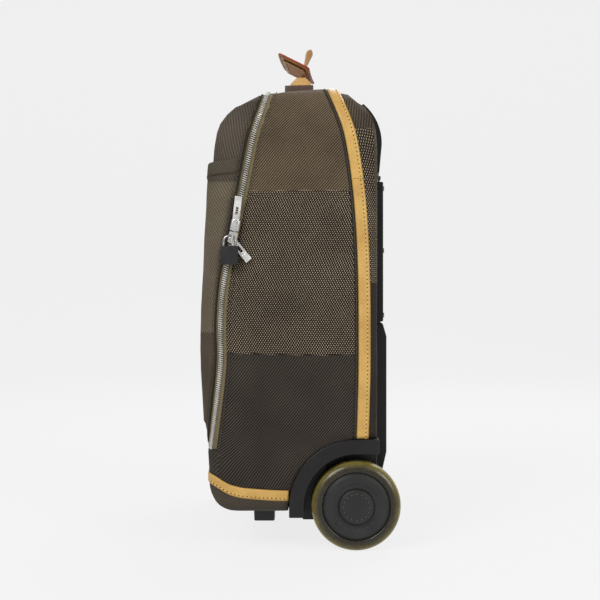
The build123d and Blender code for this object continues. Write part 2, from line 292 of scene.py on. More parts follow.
def depthOf(sample, line, low, form):
    # the depth at which the form crosses a drawn line
    near, far = core["front"] - core["arc"], core["back"] + core["arc"]
    for _ in range(14):
        middle = (near + far) / 2
        hit, _ = skinAt(sample, middle, low, form)
        if hit.y < line(hit.z):
            near = middle
        else:
            far = middle
    return (near + far) / 2


def outward(obj):
    bm = bmesh.new()
    bm.from_mesh(obj.data)
    bmesh.ops.recalc_face_normals(bm, faces=bm.faces)
    bm.to_mesh(obj.data)
    bm.free()
    return obj


def gridObject(name, points, uvs, materials):
    # points and uvs are columns of equal length; faces are turned outward
    bm = bmesh.new()
    rows = [[bm.verts.new(p * mm) for p in column] for column in points]
    layer = bm.loops.layers.uv.new("weave")
    centre = Vector((0, -5, 280)) * mm
    faces = []
    for i in range(len(rows) - 1):
        for j in range(len(rows[i]) - 1):
            corners = [(i, j), (i + 1, j), (i + 1, j + 1), (i, j + 1)]
            face = bm.faces.new([rows[a][b] for a, b in corners])
            for loop, (a, b) in zip(face.loops, corners):
                loop[layer].uv = (uvs[a][b][0] * mm, uvs[a][b][1] * mm)
            faces.append(face)
    bm.normal_update()
    score = sum(f.normal.dot(f.calc_center_median() - centre) for f in faces)
    if score < 0:
        bmesh.ops.reverse_faces(bm, faces=faces)
    bm.normal_update()
    obj = smoothShade(meshObject(name, bm))
    for material in materials:
        obj.data.materials.append(material)
    return obj


def ripple(p, size, amount):
    return noise.noise(Vector(p) / size) * amount


def stripOf(samples, frontLine, backLine, low, form, rows, profile, wrinkle=0.0):
    # a strip of points between two drawn lines, with a running length for its weave
    points, uvs, run, last = [], [], 0.0, None
    for sample in samples:
        start, end = depthOf(sample, frontLine, low, form), depthOf(sample, backLine, low, form)
        column, marks, across, before = [], [], 0.0, None
        for k in range(rows + 1):
            hit, normal = skinAt(sample, start + (end - start) * k / rows, low, form)
            lift = profile(k / rows)
            if wrinkle:
                lift += wrinkled(hit, wrinkle) * min(min(k, rows - k) / rows / 0.15, 1)
            point = hit + normal * lift
            if before is not None:
                across += (hit - before).length
            before = hit
            column.append(point)
            marks.append(across)
        middle = column[rows // 2]
        if last is not None:
            run += (middle - last).length
        last = middle
        points.append(column)
        uvs.append([(mark, run) for mark in marks])
    return points, uvs


def sheet(name, strip, finishes, thickness, body, slotName, replaced=(), fill=None):
    # a sheet laid from a strip's points; a second finish lines its inside
    obj = gridObject(name, *strip, finishes)
    addModifier(obj, "SOLIDIFY", thickness=thickness * mm, offset=-1, material_offset=len(finishes) - 1)
    finish(outward(baked(obj)), body, slotName, replaced)


def smoothStep(share):
    return share * share * (3 - 2 * share)


def straightSample(x, z):
    # a place on a side of the core's frame, where the bag's side is straight up
    return {"x": x, "z": z, "away": Vector((math.copysign(1, x), 0, 0)), "share": None}


def rimmed(x, y, width, height, corner):
    # a place in a rectangle, drawn into its rounded corners
    a = max(abs(x) - (width / 2 - corner), 0) / corner
    b = max(abs(y) - (height / 2 - corner), 0) / corner
    if a > 0 and b > 0:
        x = math.copysign(width / 2 - corner + corner * a * math.sqrt(1 - b * b / 2), x)
        y = math.copysign(height / 2 - corner + corner * b * math.sqrt(1 - a * a / 2), y)
    return x, y


def seamRing(steps, wideX, wideY, halfX, halfY):
    # places round a rectangle with rounded corners, as a stitch line runs
    ring = []
    for i in range(steps + 1):
        c, s = math.cos(2 * math.pi * i / steps), math.sin(2 * math.pi * i / steps)
        ring.append((math.copysign(min(abs(c) * wideX, halfX), c), math.copysign(min(abs(s) * wideY, halfY), s)))
    return ring


def slab(name, outline, x, side, thickness, width, segments, cuts=0):
    # a flat piece on a side of the bag, cut to a (y, z) outline, with eased edges
    bm = bmesh.new()
    face = bm.faces.new([bm.verts.new(Vector((side * x, y, z)) * mm) for y, z in outline])
    for part in bmesh.ops.extrude_face_region(bm, geom=[face])["geom"]:
        if isinstance(part, bmesh.types.BMVert):
            part.co.x += side * thickness * mm
    if cuts:
        bmesh.ops.subdivide_edges(bm, edges=bm.edges, cuts=cuts, use_grid_fill=True)
    obj = meshObject(name, bm)
    addModifier(obj, "BEVEL", width=width * mm, segments=segments, limit_method="ANGLE",
                angle_limit=math.radians(40))
    return outward(baked(obj))


# materials


def wire(tree, kind, links=(), **values):
    node = tree.nodes.new(kind)
    for key, value in values.items():
        setattr(node, key, value)
    for socket, source in dict(links).items():
        if isinstance(source, (int, float, tuple, str)):
            node.inputs[socket].default_value = source
        else:
            tree.links.new(source, node.inputs[socket])
    return node


def maths(tree, operation, *sources):
    node = wire(tree, "ShaderNodeMath", dict(enumerate(sources)), operation=operation)
    return node.outputs[0]


def axes(tree, space):
    return wire(tree, "ShaderNodeSeparateXYZ", {0: wire(tree, "ShaderNodeTexCoord").outputs[space]}).outputs


def plainMaterial(name, sockets):
    material = bpy.data.materials.new(name)
    material.use_nodes = True
    shader = material.node_tree.nodes["Principled BSDF"]
    for key, value in sockets.items():
        shader.inputs[key].default_value = value
    return material, material.node_tree, shader


def dressed(material, colour, normal, gloss=None):
    tree = material.node_tree
    inputs = tree.nodes["Principled BSDF"].inputs
    for key, source in (("Base Color", colour), ("Normal", normal), ("Roughness", gloss)):
        if source is not None:
            tree.links.new(source, inputs[key])
    return material


def ramp(tree, factor, stops, mode="LINEAR"):
    node = wire(tree, "ShaderNodeValToRGB", {0: factor})
    node.color_ramp.interpolation = mode
    while len(node.color_ramp.elements) < len(stops):
        node.color_ramp.elements.new(0.5)
    for element, (position, colour) in zip(node.color_ramp.elements, stops):
        element.position = position
        element.color = (*colour, 1)
    return node.outputs[0]


def remap(tree, value, start=0.0, stop=1.0, low=0.0, high=1.0):
    return wire(tree, "ShaderNodeMapRange", {0: value, 1: start, 2: stop, 3: low, 4: high}).outputs[0]


def mixColour(tree, factor, first, second, blend="MIX"):
    node = tree.nodes.new("ShaderNodeMix")
    node.data_type, node.blend_type = "RGBA", blend
    for socket, source in ((0, factor), (6, first), (7, second)):
        if isinstance(source, (int, float)):
            node.inputs[socket].default_value = source
        elif isinstance(source, tuple):
            node.inputs[socket].default_value = (*source, 1)
        else:
            tree.links.new(source, node.inputs[socket])
    return node.outputs[2]


def tinted(tree, colour, shade):
    return mixColour(tree, 1.0, colour, shade, "MULTIPLY")


def bump(tree, height, distance, normal=None):
    links = {"Height": height, "Distance": distance * mm, "Strength": 1.0}
    if normal is not None:
        links["Normal"] = normal
    return wire(tree, "ShaderNodeBump", links).outputs[0]


def grain(tree, size, detail, rough=0.5):
    place = wire(tree, "ShaderNodeTexCoord").outputs["Object"]
    node = wire(tree, "ShaderNodeTexNoise",
                {"Vector": place, "Scale": 1 / (size * mm), "Detail": detail, "Roughness": rough})
    return node.outputs["Fac"]


weaveStyle = {"pitch": 2.6, "dotPitch": 2.35, "steep": 0.84, "level": 0.54, "top": 560.0, "ragged": 2.0}


def canvas(name, bands, slant=1.0, useUv=True):
    # slanting ribs, or bright dots where a band says so; bands are (lowest height, dark, pale, dotted), floor up
    style = weaveStyle
    material, tree, _ = plainMaterial(name, {"Roughness": 0.8, "Specular IOR Level": 0.15})
    x, y, z = axes(tree, "Object")
    if useUv:
        u, v, _ = axes(tree, "UV")
    else:
        aside = maths(tree, "MULTIPLY", x, 0.7)
        u, v = maths(tree, "ADD", y, aside), maths(tree, "SUBTRACT", z, aside)
    wave = 2 * math.pi / (style["pitch"] * mm)
    wobble = maths(tree, "MULTIPLY", maths(tree, "SUBTRACT", grain(tree, 34, 1.0), 0.5), 1.1)
    steep = maths(tree, "MULTIPLY_ADD", u, wave * style["steep"], wobble)
    level = maths(tree, "MULTIPLY", v, wave * style["level"] * slant)
    rib, crossed = (maths(tree, "MULTIPLY_ADD", maths(tree, "SINE", maths(tree, way, steep, level)), 0.5, 0.5)
                    for way in ("SUBTRACT", "ADD"))
    finer = style["pitch"] / style["dotPitch"]
    waves = []
    for way in ("SUBTRACT", "ADD"):
        line = maths(tree, "SINE", maths(tree, "MULTIPLY", maths(tree, way, steep, level), finer))
        waves.append(maths(tree, "MULTIPLY_ADD", line, 0.5, 0.5))
    dots = maths(tree, "MULTIPLY", *waves)
    height = maths(tree, "MULTIPLY_ADD", rib, style["ragged"] * mm, z)
    sag = maths(tree, "MULTIPLY_ADD", maths(tree, "SUBTRACT", grain(tree, 90, 1.0), 0.5), 5 * mm, height)
    place = maths(tree, "DIVIDE", sag, style["top"] * mm)
    stops = [(low / style["top"], dark, pale, (dotted,) * 3) for low, dark, pale, dotted in bands]
    dark, pale, dotted = (ramp(tree, place, [(stop[0], stop[k]) for stop in stops], "CONSTANT") for k in (1, 2, 3))
    ridges = wire(tree, "ShaderNodeMapRange", {0: rib, 1: 0.25, 2: 0.9}, interpolation_type="SMOOTHSTEP")
    broken = maths(tree, "MULTIPLY", ridges.outputs[0], maths(tree, "MULTIPLY_ADD", crossed, 0.35, 0.65))
    points = wire(tree, "ShaderNodeMapRange", {0: dots, 1: 0.37, 2: 0.66}, interpolation_type="SMOOTHSTEP")
    lit = wire(tree, "ShaderNodeMix", {0: dotted, 2: broken, 3: points.outputs[0]}).outputs[0]
    base = mixColour(tree, lit, dark, pale)
    fibres, worn = grain(tree, 0.5, 3.0), grain(tree, 60, 4.0)
    base = tinted(tree, base, remap(tree, fibres, low=0.72, high=1.2))
    base = tinted(tree, base, remap(tree, worn, 0.3, 0.7, 0.76, 1.2))
    return dressed(material, base, bump(tree, fibres, 0.12, normal=bump(tree, lit, 0.4)))


sideBands = [(0, (.010, .008, .006), (.066, .053, .042), 0), (219, (.009, .006, .004), (.350, .280, .190), 1),
             (402, (.032, .022, .013), (.158, .116, .072), 0)]
frontBands = [(0, (.042, .033, .022), (.088, .070, .049), 0), (245, (.080, .064, .042), (.150, .124, .086), 0),
              (412, (.044, .035, .026), (.088, .072, .054), 0)]
backBands = [(0, (.012, .009, .007), (.050, .038, .029), 0), (298, (.012, .009, .005), (.360, .290, .200), 1),
             (472, (.028, .021, .014), (.090, .068, .046), 0)]
sideCanvas = canvas("sideCanvas", sideBands)
frontCanvas = canvas("frontCanvas", frontBands)
backCanvas = canvas("backCanvas", backBands)
baseCanvas = canvas("baseCanvas", [(0, (.036, .029, .021), (.082, .068, .052), 0)], slant=-1.0, useUv=False)
hemCanvas = canvas("hemCanvas", [(0, (.045, .036, .025), (.105, .088, .062), 0)], slant=-1.0)
sillCanvas = canvas("sillCanvas", [(0, (.020, .016, .012), (.060, .049, .038), 0)])


def hide(name, colour, dark):
    # leather: fine pebbled grain, cloudy colour and darker worn patches
    gloss, pebble, worn = 0.48, 1.1, 0.45
    material, tree, _ = plainMaterial(name, {"Coat Weight": 0.12, "Coat Roughness": 0.35})
    place = wire(tree, "ShaderNodeTexCoord").outputs["Object"]
    cells = wire(tree, "ShaderNodeTexVoronoi", {"Vector": place, "Scale": 1 / (pebble * mm)},
                 feature="SMOOTH_F1").outputs["Distance"]
    clouds, spots = grain(tree, 22, 5.0), grain(tree, 7, 6.0, rough=0.7)
    base = mixColour(tree, remap(tree, clouds, 0.35, 0.75), colour, dark)
    stain = remap(tree, spots, 0.62, 0.72, high=0.55)
    base = mixColour(tree, stain, base, tuple(c * worn for c in dark))
    base = tinted(tree, base, remap(tree, cells, 0.0, 0.6, 0.86, 1.06))
    normal = bump(tree, grain(tree, 3.5, 4.0), 0.18, normal=bump(tree, cells, 0.12))
    return dressed(material, base, normal, remap(tree, clouds, low=gloss - 0.1, high=gloss + 0.14))


tanLeather = hide("tanLeather", (.47, .285, .070), (.37, .20, .040))
handleLeather = hide("handleLeather", (.50, .29, .085), (.36, .18, .04))
tagLeather = hide("tagLeather", (.42, .22, .075), (.30, .13, .04))
darkLeather = hide("darkLeather", (.055, .021, .011), (.032, .013, .008))


def moulded(name, colour, roughness=0.42, grainSize=0.7, depth=0.05, metal=0.0):
    # moulded plastic or cast finish: fine stipple, rub marks in the gloss
    material, tree, _ = plainMaterial(name, {"Specular IOR Level": 0.25, "Metallic": metal})
    rubbed = grain(tree, 26, 6.0, rough=0.65)
    base = tinted(tree, colour, remap(tree, rubbed, 0.3, 0.7, 0.8, 1.25))
    gloss = remap(tree, rubbed, 0.3, 0.75, roughness - 0.1, roughness + 0.14)
    return dressed(material, base, bump(tree, grain(tree, grainSize, 2.0), depth), gloss)


housingBlack = moulded("housingBlack", (.009, .008, .008), 0.32)
gripBlack = moulded("gripBlack", (.008, .008, .008), 0.34, 0.5)
hubBlack = moulded("hubBlack", (.017, .017, .0165), 0.5, 0.6)
tubeBlack = moulded("tubeBlack", (.045, .045, .047), 0.30, 0.4, 0.01, metal=0.9)
zipSilver = moulded("zipSilver", (.78, .77, .74), 0.28, 0.4, 0.015, metal=0.85)
steelBright = moulded("steelBright", (.34, .34, .33), 0.24, 0.5, 0.02, metal=1.0)
padlockBlack = moulded("padlockBlack", (.016, .016, .017), 0.36, 0.5, 0.02)
boardGrey = moulded("boardGrey", (.06, .058, .055), 0.6)
studBrass = moulded("studBrass", (.16, .12, .07), 0.35, 0.4, 0.02, metal=1.0)
hubGrey = moulded("hubGrey", (.075, .075, .073), 0.5, 0.6)
paperCard = moulded("paperCard", (.30, .21, .11), 0.8, 0.4)
# painted shade: the dark brown of the dots in needle holes between light stitches
needleHoleShade = moulded("needleHoleShade", (.030, .016, .006), 0.8, 0.4)
edgeRed = moulded("edgeRed", (.20, .026, .012), 0.45, 0.8, 0.05)
yellowThread = moulded("yellowThread", (.72, .47, .12), 0.6, 0.3, 0.08)
# dark strip finish: piping along the back trim, and painted shade for the gap between the lid canvas and the zip tape
pipingAndGapShade = moulded("pipingAndGapShade", (.014, .011, .008), 0.8, 0.4)
# a dark thread, also used for dots of painted shade in needle holes between olive stitches
darkThreadAndHoleShade = moulded("darkThreadAndHoleShade", (.022, .017, .012), 0.7, 0.3, 0.08)
oliveThread = moulded("oliveThread", (.165, .135, .10), 0.7, 0.3, 0.08)


def lining():
    material, tree, _ = plainMaterial("liningCloth", {"Roughness": 0.6})
    base = tinted(tree, (.075, .058, .040), remap(tree, grain(tree, 45, 3.0), low=0.8, high=1.2))
    return dressed(material, base, bump(tree, grain(tree, 0.6, 2.0), 0.1))


def ribbed(tree, run, pitch):
    # an even wave along a running length
    return maths(tree, "SINE", maths(tree, "MULTIPLY", run, 2 * math.pi / (pitch * mm)))


def tapeCloth():
    material, tree, _ = plainMaterial("tapeCloth", {"Roughness": 0.75})
    tone = remap(tree, ribbed(tree, axes(tree, "UV")[1], 0.9), -1.0, 1.0)
    base = mixColour(tree, tone, (.085, .066, .028), (.150, .116, .050))
    base = tinted(tree, base, remap(tree, grain(tree, 12, 3.0), low=0.8, high=1.2))
    return dressed(material, base, bump(tree, tone, 0.18))


def wheelRubberPaintedRimLight():
    # cloudy olive polyurethane; its colour climbs from near black at the hub to a bright olive rim, painted light as
    # if shining through the thin translucent edge
    material, tree, _ = plainMaterial("wheelRubberPaintedRimLight", {
        "Subsurface Weight": 0.3, "Subsurface Radius": (1.0, 0.7, 0.25), "Subsurface Scale": 0.006,
        "Specular IOR Level": 0.35})
    _, y, z = axes(tree, "Object")
    y, z = maths(tree, "SUBTRACT", y, wheelAt.y * mm), maths(tree, "SUBTRACT", z, wheelAt.z * mm)
    square = maths(tree, "ADD", maths(tree, "MULTIPLY", y, y), maths(tree, "MULTIPLY", z, z))
    share = remap(tree, maths(tree, "SQRT", square), 0.0375, 0.050)
    # painted light and shade: bright olive at the rim for light passing through the thin rubber edge, near black by
    # the hub where none comes through
    base = ramp(tree, share, [(0.0, (.014, .012, .008)), (0.4, (.026, .022, .012)), (0.72, (.085, .070, .021)),
                              (1.0, (.20, .165, .035))])
    base = tinted(tree, base, remap(tree, grain(tree, 11, 6.0, rough=0.7), 0.35, 0.75, 1.15, 0.62))
    gloss = remap(tree, grain(tree, 8, 5.0), low=0.14, high=0.4)
    return dressed(material, base, bump(tree, grain(tree, 1.6, 4.0), 0.08), gloss)


def clearWindow():
    material, tree, _ = plainMaterial("clearWindow", {"Roughness": 0.55, "IOR": 1.25, "Transmission Weight": 0.12})
    base = tinted(tree, (.46, .21, .06), remap(tree, grain(tree, 14, 4.0), low=0.85, high=1.05))
    return dressed(material, base, None)


def strapWebbing():
    material, tree, _ = plainMaterial("strapWebbing", {"Roughness": 0.65})
    u, v, _ = axes(tree, "UV")
    weave = maths(tree, "MULTIPLY_ADD", maths(tree, "MULTIPLY", ribbed(tree, u, 2.4), ribbed(tree, v, 1.1)), 0.5, 0.5)
    base = mixColour(tree, weave, (.020, .017, .013), (.050, .043, .034))
    return dressed(material, base, bump(tree, weave, 0.25))


liningCloth, tapeCloth, wheelRubberPaintedRimLight, clearWindow = lining(), tapeCloth(), wheelRubberPaintedRimLight(), clearWindow()
webbing = strapWebbing()
say("materials made")

# rows of small pieces


def rowTree():
    # places one small piece at every point, turned along its row and away from the surface
    tree = bpy.data.node_groups.new("rowOfPieces", "GeometryNodeTree")
    for name, kind in (("Points", "Geometry"), ("Piece", "Object"), ("Size", "Float"), ("Unevenness", "Float"),
                       ("Finish", "Material")):
        tree.interface.new_socket(name, in_out="INPUT", socket_type="NodeSocket" + kind)
    tree.interface.new_socket("Pieces", in_out="OUTPUT", socket_type="NodeSocketGeometry")
    source = tree.nodes.new("NodeGroupInput").outputs
    along, out = (wire(tree, "GeometryNodeInputNamedAttribute", {"Name": name}, data_type="FLOAT_VECTOR")
                  for name in ("along", "out"))
    first = wire(tree, "FunctionNodeAlignEulerToVector", {"Vector": along.outputs[0]}, axis="X")
    second = wire(tree, "FunctionNodeAlignEulerToVector",
                  {"Rotation": first.outputs[0], "Vector": out.outputs[0]}, axis="Z", pivot_axis="X")
    wobble = wire(tree, "FunctionNodeRandomValue", {"Seed": 7}, data_type="FLOAT")
    tree.links.new(source["Unevenness"], wobble.inputs[3])
    wobble.inputs[2].default_value = 0.0
    scaled = wire(tree, "ShaderNodeMath", {0: source["Size"], 1: wobble.outputs[1]}, operation="SUBTRACT")
    info = wire(tree, "GeometryNodeObjectInfo", {"Object": source["Piece"]})
    place = wire(tree, "GeometryNodeInstanceOnPoints",
                 {"Points": source["Points"], "Instance": info.outputs["Geometry"],
                  "Rotation": second.outputs[0], "Scale": scaled.outputs[0]})
    real = wire(tree, "GeometryNodeRealizeInstances", {"Geometry": place.outputs[0]})
    painted = wire(tree, "GeometryNodeSetMaterial", {"Geometry": real.outputs[0], "Material": source["Finish"]})
    sink = tree.nodes.new("NodeGroupOutput")
    tree.links.new(painted.outputs[0], sink.inputs[0])
    return tree


rowOfPieces = rowTree()


def rowObject(name, spots, piece, material, size=1.0):
    # spots are (place, along, out) in mm and unit vectors
    mesh = bpy.data.meshes.new(name)
    mesh.from_pydata([tuple(p * mm) for p, _, _ in spots], [], [])
    for label, index in (("along", 1), ("out", 2)):
        values = mesh.attributes.new(label, "FLOAT_VECTOR", "POINT")
        values.data.foreach_set("vector", [c for spot in spots for c in spot[index]])
    obj = bpy.data.objects.new(name, mesh)
    scene.collection.objects.link(obj)
    modifier = obj.modifiers.new("rows", "NODES")
    modifier.node_group = rowOfPieces
    given = {"Piece": piece, "Size": size, "Unevenness": 0.0, "Finish": material}
    for item in rowOfPieces.interface.items_tree:
        if item.in_out == "INPUT" and item.name in given:
            modifier[item.identifier] = given[item.name]
    return baked(obj)


def evenly(line, spacing, start=0.0):
    # line is a list of (point, out); gives evenly spaced (place, along, out)
    spots, travelled, goal = [], 0.0, start
    for (p0, n0), (p1, n1) in zip(line, line[1:]):
        length = (p1 - p0).length
        if length < 1e-6:
            continue
        along = (p1 - p0) / length
        while goal <= travelled + length:
            t = (goal - travelled) / length
            spots.append((p0.lerp(p1, t), along, n0.lerp(n1, t).normalized()))
            goal += spacing
        travelled += length
    return spots


def smallPiece(name, bm):
    # a pattern piece that the rows copy; it isn't shown itself
    obj = meshObject(name, bm)
    scene.collection.objects.unlink(obj)
    return obj


def stitchPiece():
    length, width, height = 3.3, 0.8, 0.672
    bm = bmesh.new()
    bmesh.ops.create_icosphere(bm, subdivisions=1, radius=0.5)
    for v in bm.verts:
        v.co = Vector((v.co.x * length, v.co.y * width, v.co.z * height)) * mm
    return smoothShade(smallPiece("stitchPattern", bm))


def toothPiece():
    # one zip tooth: a clamped foot on the tape side and a rounded head past the middle
    bm = bmesh.new()
    outline = [(-0.55, -1.9), (0.55, -1.9), (0.55, -0.7), (0.38, -0.1), (0.60, 0.4), (0.34, 0.85),
               (-0.34, 0.85), (-0.60, 0.4), (-0.38, -0.1), (-0.55, -0.7)]
    low = [bm.verts.new(Vector((x, y, -1.1)) * mm) for x, y in outline]
    high = [bm.verts.new(Vector((x * 0.8, y * 0.94, 1.15)) * mm) for x, y in outline]
    bm.faces.new(list(reversed(low)))
    bm.faces.new(high)
    for i in range(len(outline)):
        j = (i + 1) % len(outline)
        bm.faces.new([low[i], low[j], high[j], high[i]])
    bmesh.ops.recalc_face_normals(bm, faces=bm.faces)
    return smallPiece("toothPattern", bm)


def dotPiece():
    bm = bmesh.new()
    bmesh.ops.create_cone(bm, cap_ends=True, segments=8, radius1=0.75 * mm, radius2=0.6 * mm, depth=0.5 * mm)
    return smallPiece("dotPattern", bm)


stitchPattern, toothPattern, dotPattern = stitchPiece(), toothPiece(), dotPiece()


def seamLine(samples, line, low, form, lift):
    # a drawn line laid on the form, as (point, out)
    track = []
    for sample in samples:
        hit, normal = skinAt(sample, depthOf(sample, line, low, form), low, form)
        track.append((hit + normal * lift, normal))
    return track


def shifted(line, amount):
    return lambda z: line(z) + amount


# canvas panels


def lowBand(y):
    return bandZ(y) + 1.0


def lowTrim(y):
    return 126.0


def lowLid(y):
    return lidLow


def lowZip(y):
    return 113.2


def tucked(depth, edge=0.06):
    # level across, turned down at both edges
    def profile(share):
        near = min(share, 1 - share) / edge
        return 0.0 if near >= 1 else -depth * (1 - near) ** 2
    return profile


def raised(height, edge=0.14):
    # a strap's cross section: level on top and rolled at both edges
    def profile(share):
        near = min(min(share, 1 - share) / edge, 1)
        return height * (0.25 + 0.75 * math.sqrt(1 - (1 - near) ** 2))
    return profile


panelStyle = {"thick": 2.6, "wrinkle": 1.3, "coarse": 52.0, "fine": 21.0}


def wrinkled(hit, amount):
    # soft dents, with longer folds that lean back up the side
    along = Vector((hit.x * 0.5, (hit.y * 0.8 - hit.z * 0.6) * 1.5, (hit.y * 0.6 + hit.z * 0.8) * 0.45))
    return (ripple(hit, panelStyle["coarse"], amount * 0.6) + ripple(along, panelStyle["coarse"], amount * 0.8)
            + ripple(hit * 1.6, panelStyle["fine"], amount * 0.3))


def gusset():
    edge = 6.4
    strip = stripOf(loopFine, shifted(zipY, edge), backEdgeY, lowBand, bagForm, 24, tucked(0.3, 0.03),
                    wrinkle=panelStyle["wrinkle"])
    sheet("gussetCanvas", strip, [sideCanvas, liningCloth], panelStyle["thick"], "case", "canvas",
          ["side_panel_right", "side_panel_left", "top_panel"], 0.4)


def framedPanel(name, line, low, ahead, rows, body, replaced, finishes, wrinkle):
    # a panel that starts at a drawn line, turns round the bag's edge and fills its face
    sides, corner, top = 40, 6, 11
    turned = core["front"] - core["arc"] if ahead < 0 else core["back"] + core["arc"]
    bm = bmesh.new()
    layer = bm.loops.layers.uv.new("weave")
    ring, marks = [], {}
    run, last = 0.0, None

    def place(hit, normal, lift, fade=1.0):
        return bm.verts.new((hit + normal * (lift + wrinkled(hit, wrinkle) * fade)) * mm)

    for sample in coreLoop(sides, corner, top):
        start = depthOf(sample, line, low, bagForm)
        column, across, before = [], 0.0, None
        hits = [skinAt(sample, start + (turned - start) * k / rows, low, bagForm) for k in range(rows + 1)]
        if last is not None:
            run += (hits[rows // 2][0] - last).length
        last = hits[rows // 2][0]
        for k, (hit, normal) in enumerate(hits):
            if before is not None:
                across += (hit - before).length
            before = hit
            vertex = place(hit, normal, -0.3 if k == 0 else 0.0, min(k / 2, 1))
            marks[vertex] = (across, run)
            column.append(vertex)
        ring.append(column)
    for left, right in zip(ring, ring[1:]):
        for k in range(rows):
            face = bm.faces.new([left[k], right[k], right[k + 1], left[k + 1]])
            for item in face.loops:
                item[layer].uv = [mark * mm for mark in marks[item.vert]]
    # the face inside the ring is a square grid with the ring's last row as its rim
    height, width = sides + corner, 2 * (corner + top)
    grid = [[None] * (width + 1) for _ in range(height + 1)]
    for j in range(height + 1):
        grid[j][width], grid[j][0] = ring[j][rows], ring[-1 - j][rows]
    for i in range(width + 1):
        grid[height][width - i] = ring[height + i][rows]
    straightX, straightZ = core["half"] - core["round"], core["top"] - core["round"]
    for j in range(height):
        for i in range(1, width):
            across = i - corner - top
            u = straightX * across / top
            if abs(across) > top:
                u = math.copysign(straightX + core["round"] * (abs(across) - top) / corner, across)
            v = straightZ + core["round"] * (j - sides) / corner
            if j <= sides:
                v = low(-100) + (straightZ - low(-100)) * j / sides
            x, z = coreMap(u, v)
            depth = core["front"] if ahead < 0 else core["back"]
            hit, normal = castOn(bagForm, Vector((x, depth, z)), Vector((0, ahead, 0)))
            grid[j][i] = place(hit, normal, 0.0)
    for j in range(height):
        for i in range(width):
            face = bm.faces.new([grid[j][i], grid[j][i + 1], grid[j + 1][i + 1], grid[j + 1][i]])
            for item in face.loops:
                item[layer].uv = (item.vert.co.x, item.vert.co.z)
    bmesh.ops.recalc_face_normals(bm, faces=bm.faces)
    if sum(f.normal.y for f in bm.faces if abs(f.normal.y) > 0.9) * ahead < 0:
        bmesh.ops.reverse_faces(bm, faces=bm.faces)
    obj = smoothShade(meshObject(name, bm))
    for material in finishes:
        obj.data.materials.append(material)
    addModifier(obj, "SOLIDIFY", thickness=panelStyle["thick"] * mm, offset=-1, material_offset=1)
    finish(outward(baked(obj)), body, "canvas", replaced)


def frontSkin(form, reach, z):
    # reach runs from the middle of the front (0) round the corner and back along the side
    side, far = math.copysign(1, reach), abs(reach)
    turn = min(max(far - core["half"], 0) / core["arc"], 1) * math.pi / 2
    y = core["front"] + max(far - core["half"] - core["arc"], 0)
    direction = Vector((side * math.sin(turn), -math.cos(turn), 0))
    return castOn(form, Vector((side * min(far, core["half"]), y, z)), direction)


def reachOf(form, y, z):
    near, far = core["half"], core["half"] + core["arc"] + 120
    for _ in range(16):
        middle = (near + far) / 2
        if frontSkin(form, middle, z)[0].y < y:
            near = middle
        else:
            far = middle
    return (near + far) / 2


def frontStrip(endY, low, high, form, columns, rows, profile, wrinkle=0.0):
    # a strip that runs round the front between two heights
    end = reachOf(form, endY, (low(endY) + high(endY)) / 2)
    points, uvs = [], []
    for i in range(columns + 1):
        reach = end * (2 * i / columns - 1)
        column, marks, y = [], [], frontSkin(form, reach, high(-95))[0].y
        for k in range(rows + 1):
            for _ in range(3):
                z = low(y) + (high(y) - low(y)) * k / rows
                hit, normal = frontSkin(form, reach, z)
                y = hit.y
            column.append(hit + normal * (profile(k / rows) + (wrinkled(hit, wrinkle) if wrinkle else 0)))
            marks.append((reach, z))
        points.append(column)
        uvs.append(marks)
    return points, uvs


pocketStyle = {"top": 431.0, "hem": 15.5, "bottom": 119.5, "rise": 7.0, "thick": 1.5, "close": 16.0,
               "corner": 0.6}


def pocketRows(levels, sideSteps, frontSteps, lift, edge):
    # rows across the pocket from zip to zip; its mouth climbs a little towards the zip
    points, uvs = [], []
    for z in levels:
        start = depthOf(straightSample(core["half"], z), shifted(zipY, -edge), lowLid, bagForm)
        turned = core["front"] - core["arc"]
        closed = smoothStep(min(max((z - pocketStyle["bottom"]) / pocketStyle["close"], 0), 1))
        right = []
        for k in range(sideSteps + 1):
            share = k / sideSteps
            climb = pocketStyle["rise"] * max(1 - share * 1.6, 0) * max((z - 300) / 130, 0)
            spot, depth = straightSample(core["half"], z + climb), start + (turned - start) * share
            near, normal = skinAt(spot, depth, lowLid, bagForm)
            far, _ = skinAt(spot, depth, lowLid, pocketForm)
            # full from the sewn edge on, and creased back onto the lid at its corner
            full = smoothStep(min(share / 0.45, 1)) if k < sideSteps else 0.0
            right.append(near.lerp(far, closed * full * pocketStyle["corner"]) + normal * (lift + 0.5))
        front = []
        for k in range(1, frontSteps):
            x = core["half"] * (1 - 2 * k / frontSteps)
            origin, ahead = Vector((x, core["front"], z)), Vector((0, -1, 0))
            near, normal = castOn(bagForm, origin, ahead)
            far, _ = castOn(pocketForm, origin, ahead)
            full = 1 - (1 - pocketStyle["corner"]) * (2 * k / frontSteps - 1) ** 4
            front.append(near.lerp(far, closed * full) + normal * (lift + 0.5))
        left = [Vector((-p.x, p.y, p.z)) for p in reversed(right)]
        row, marks, run, last = [], [], 0.0, None
        for p in right + front + left:
            run += 0 if last is None else (p - last).length
            last = p
            row.append(p + Vector((0, -1, 0)) * wrinkled(p, 0.8) * closed)
            marks.append((run, z))
        points.append(row)
        uvs.append([(mark - run / 2, z_) for mark, z_ in marks])
    return points, uvs


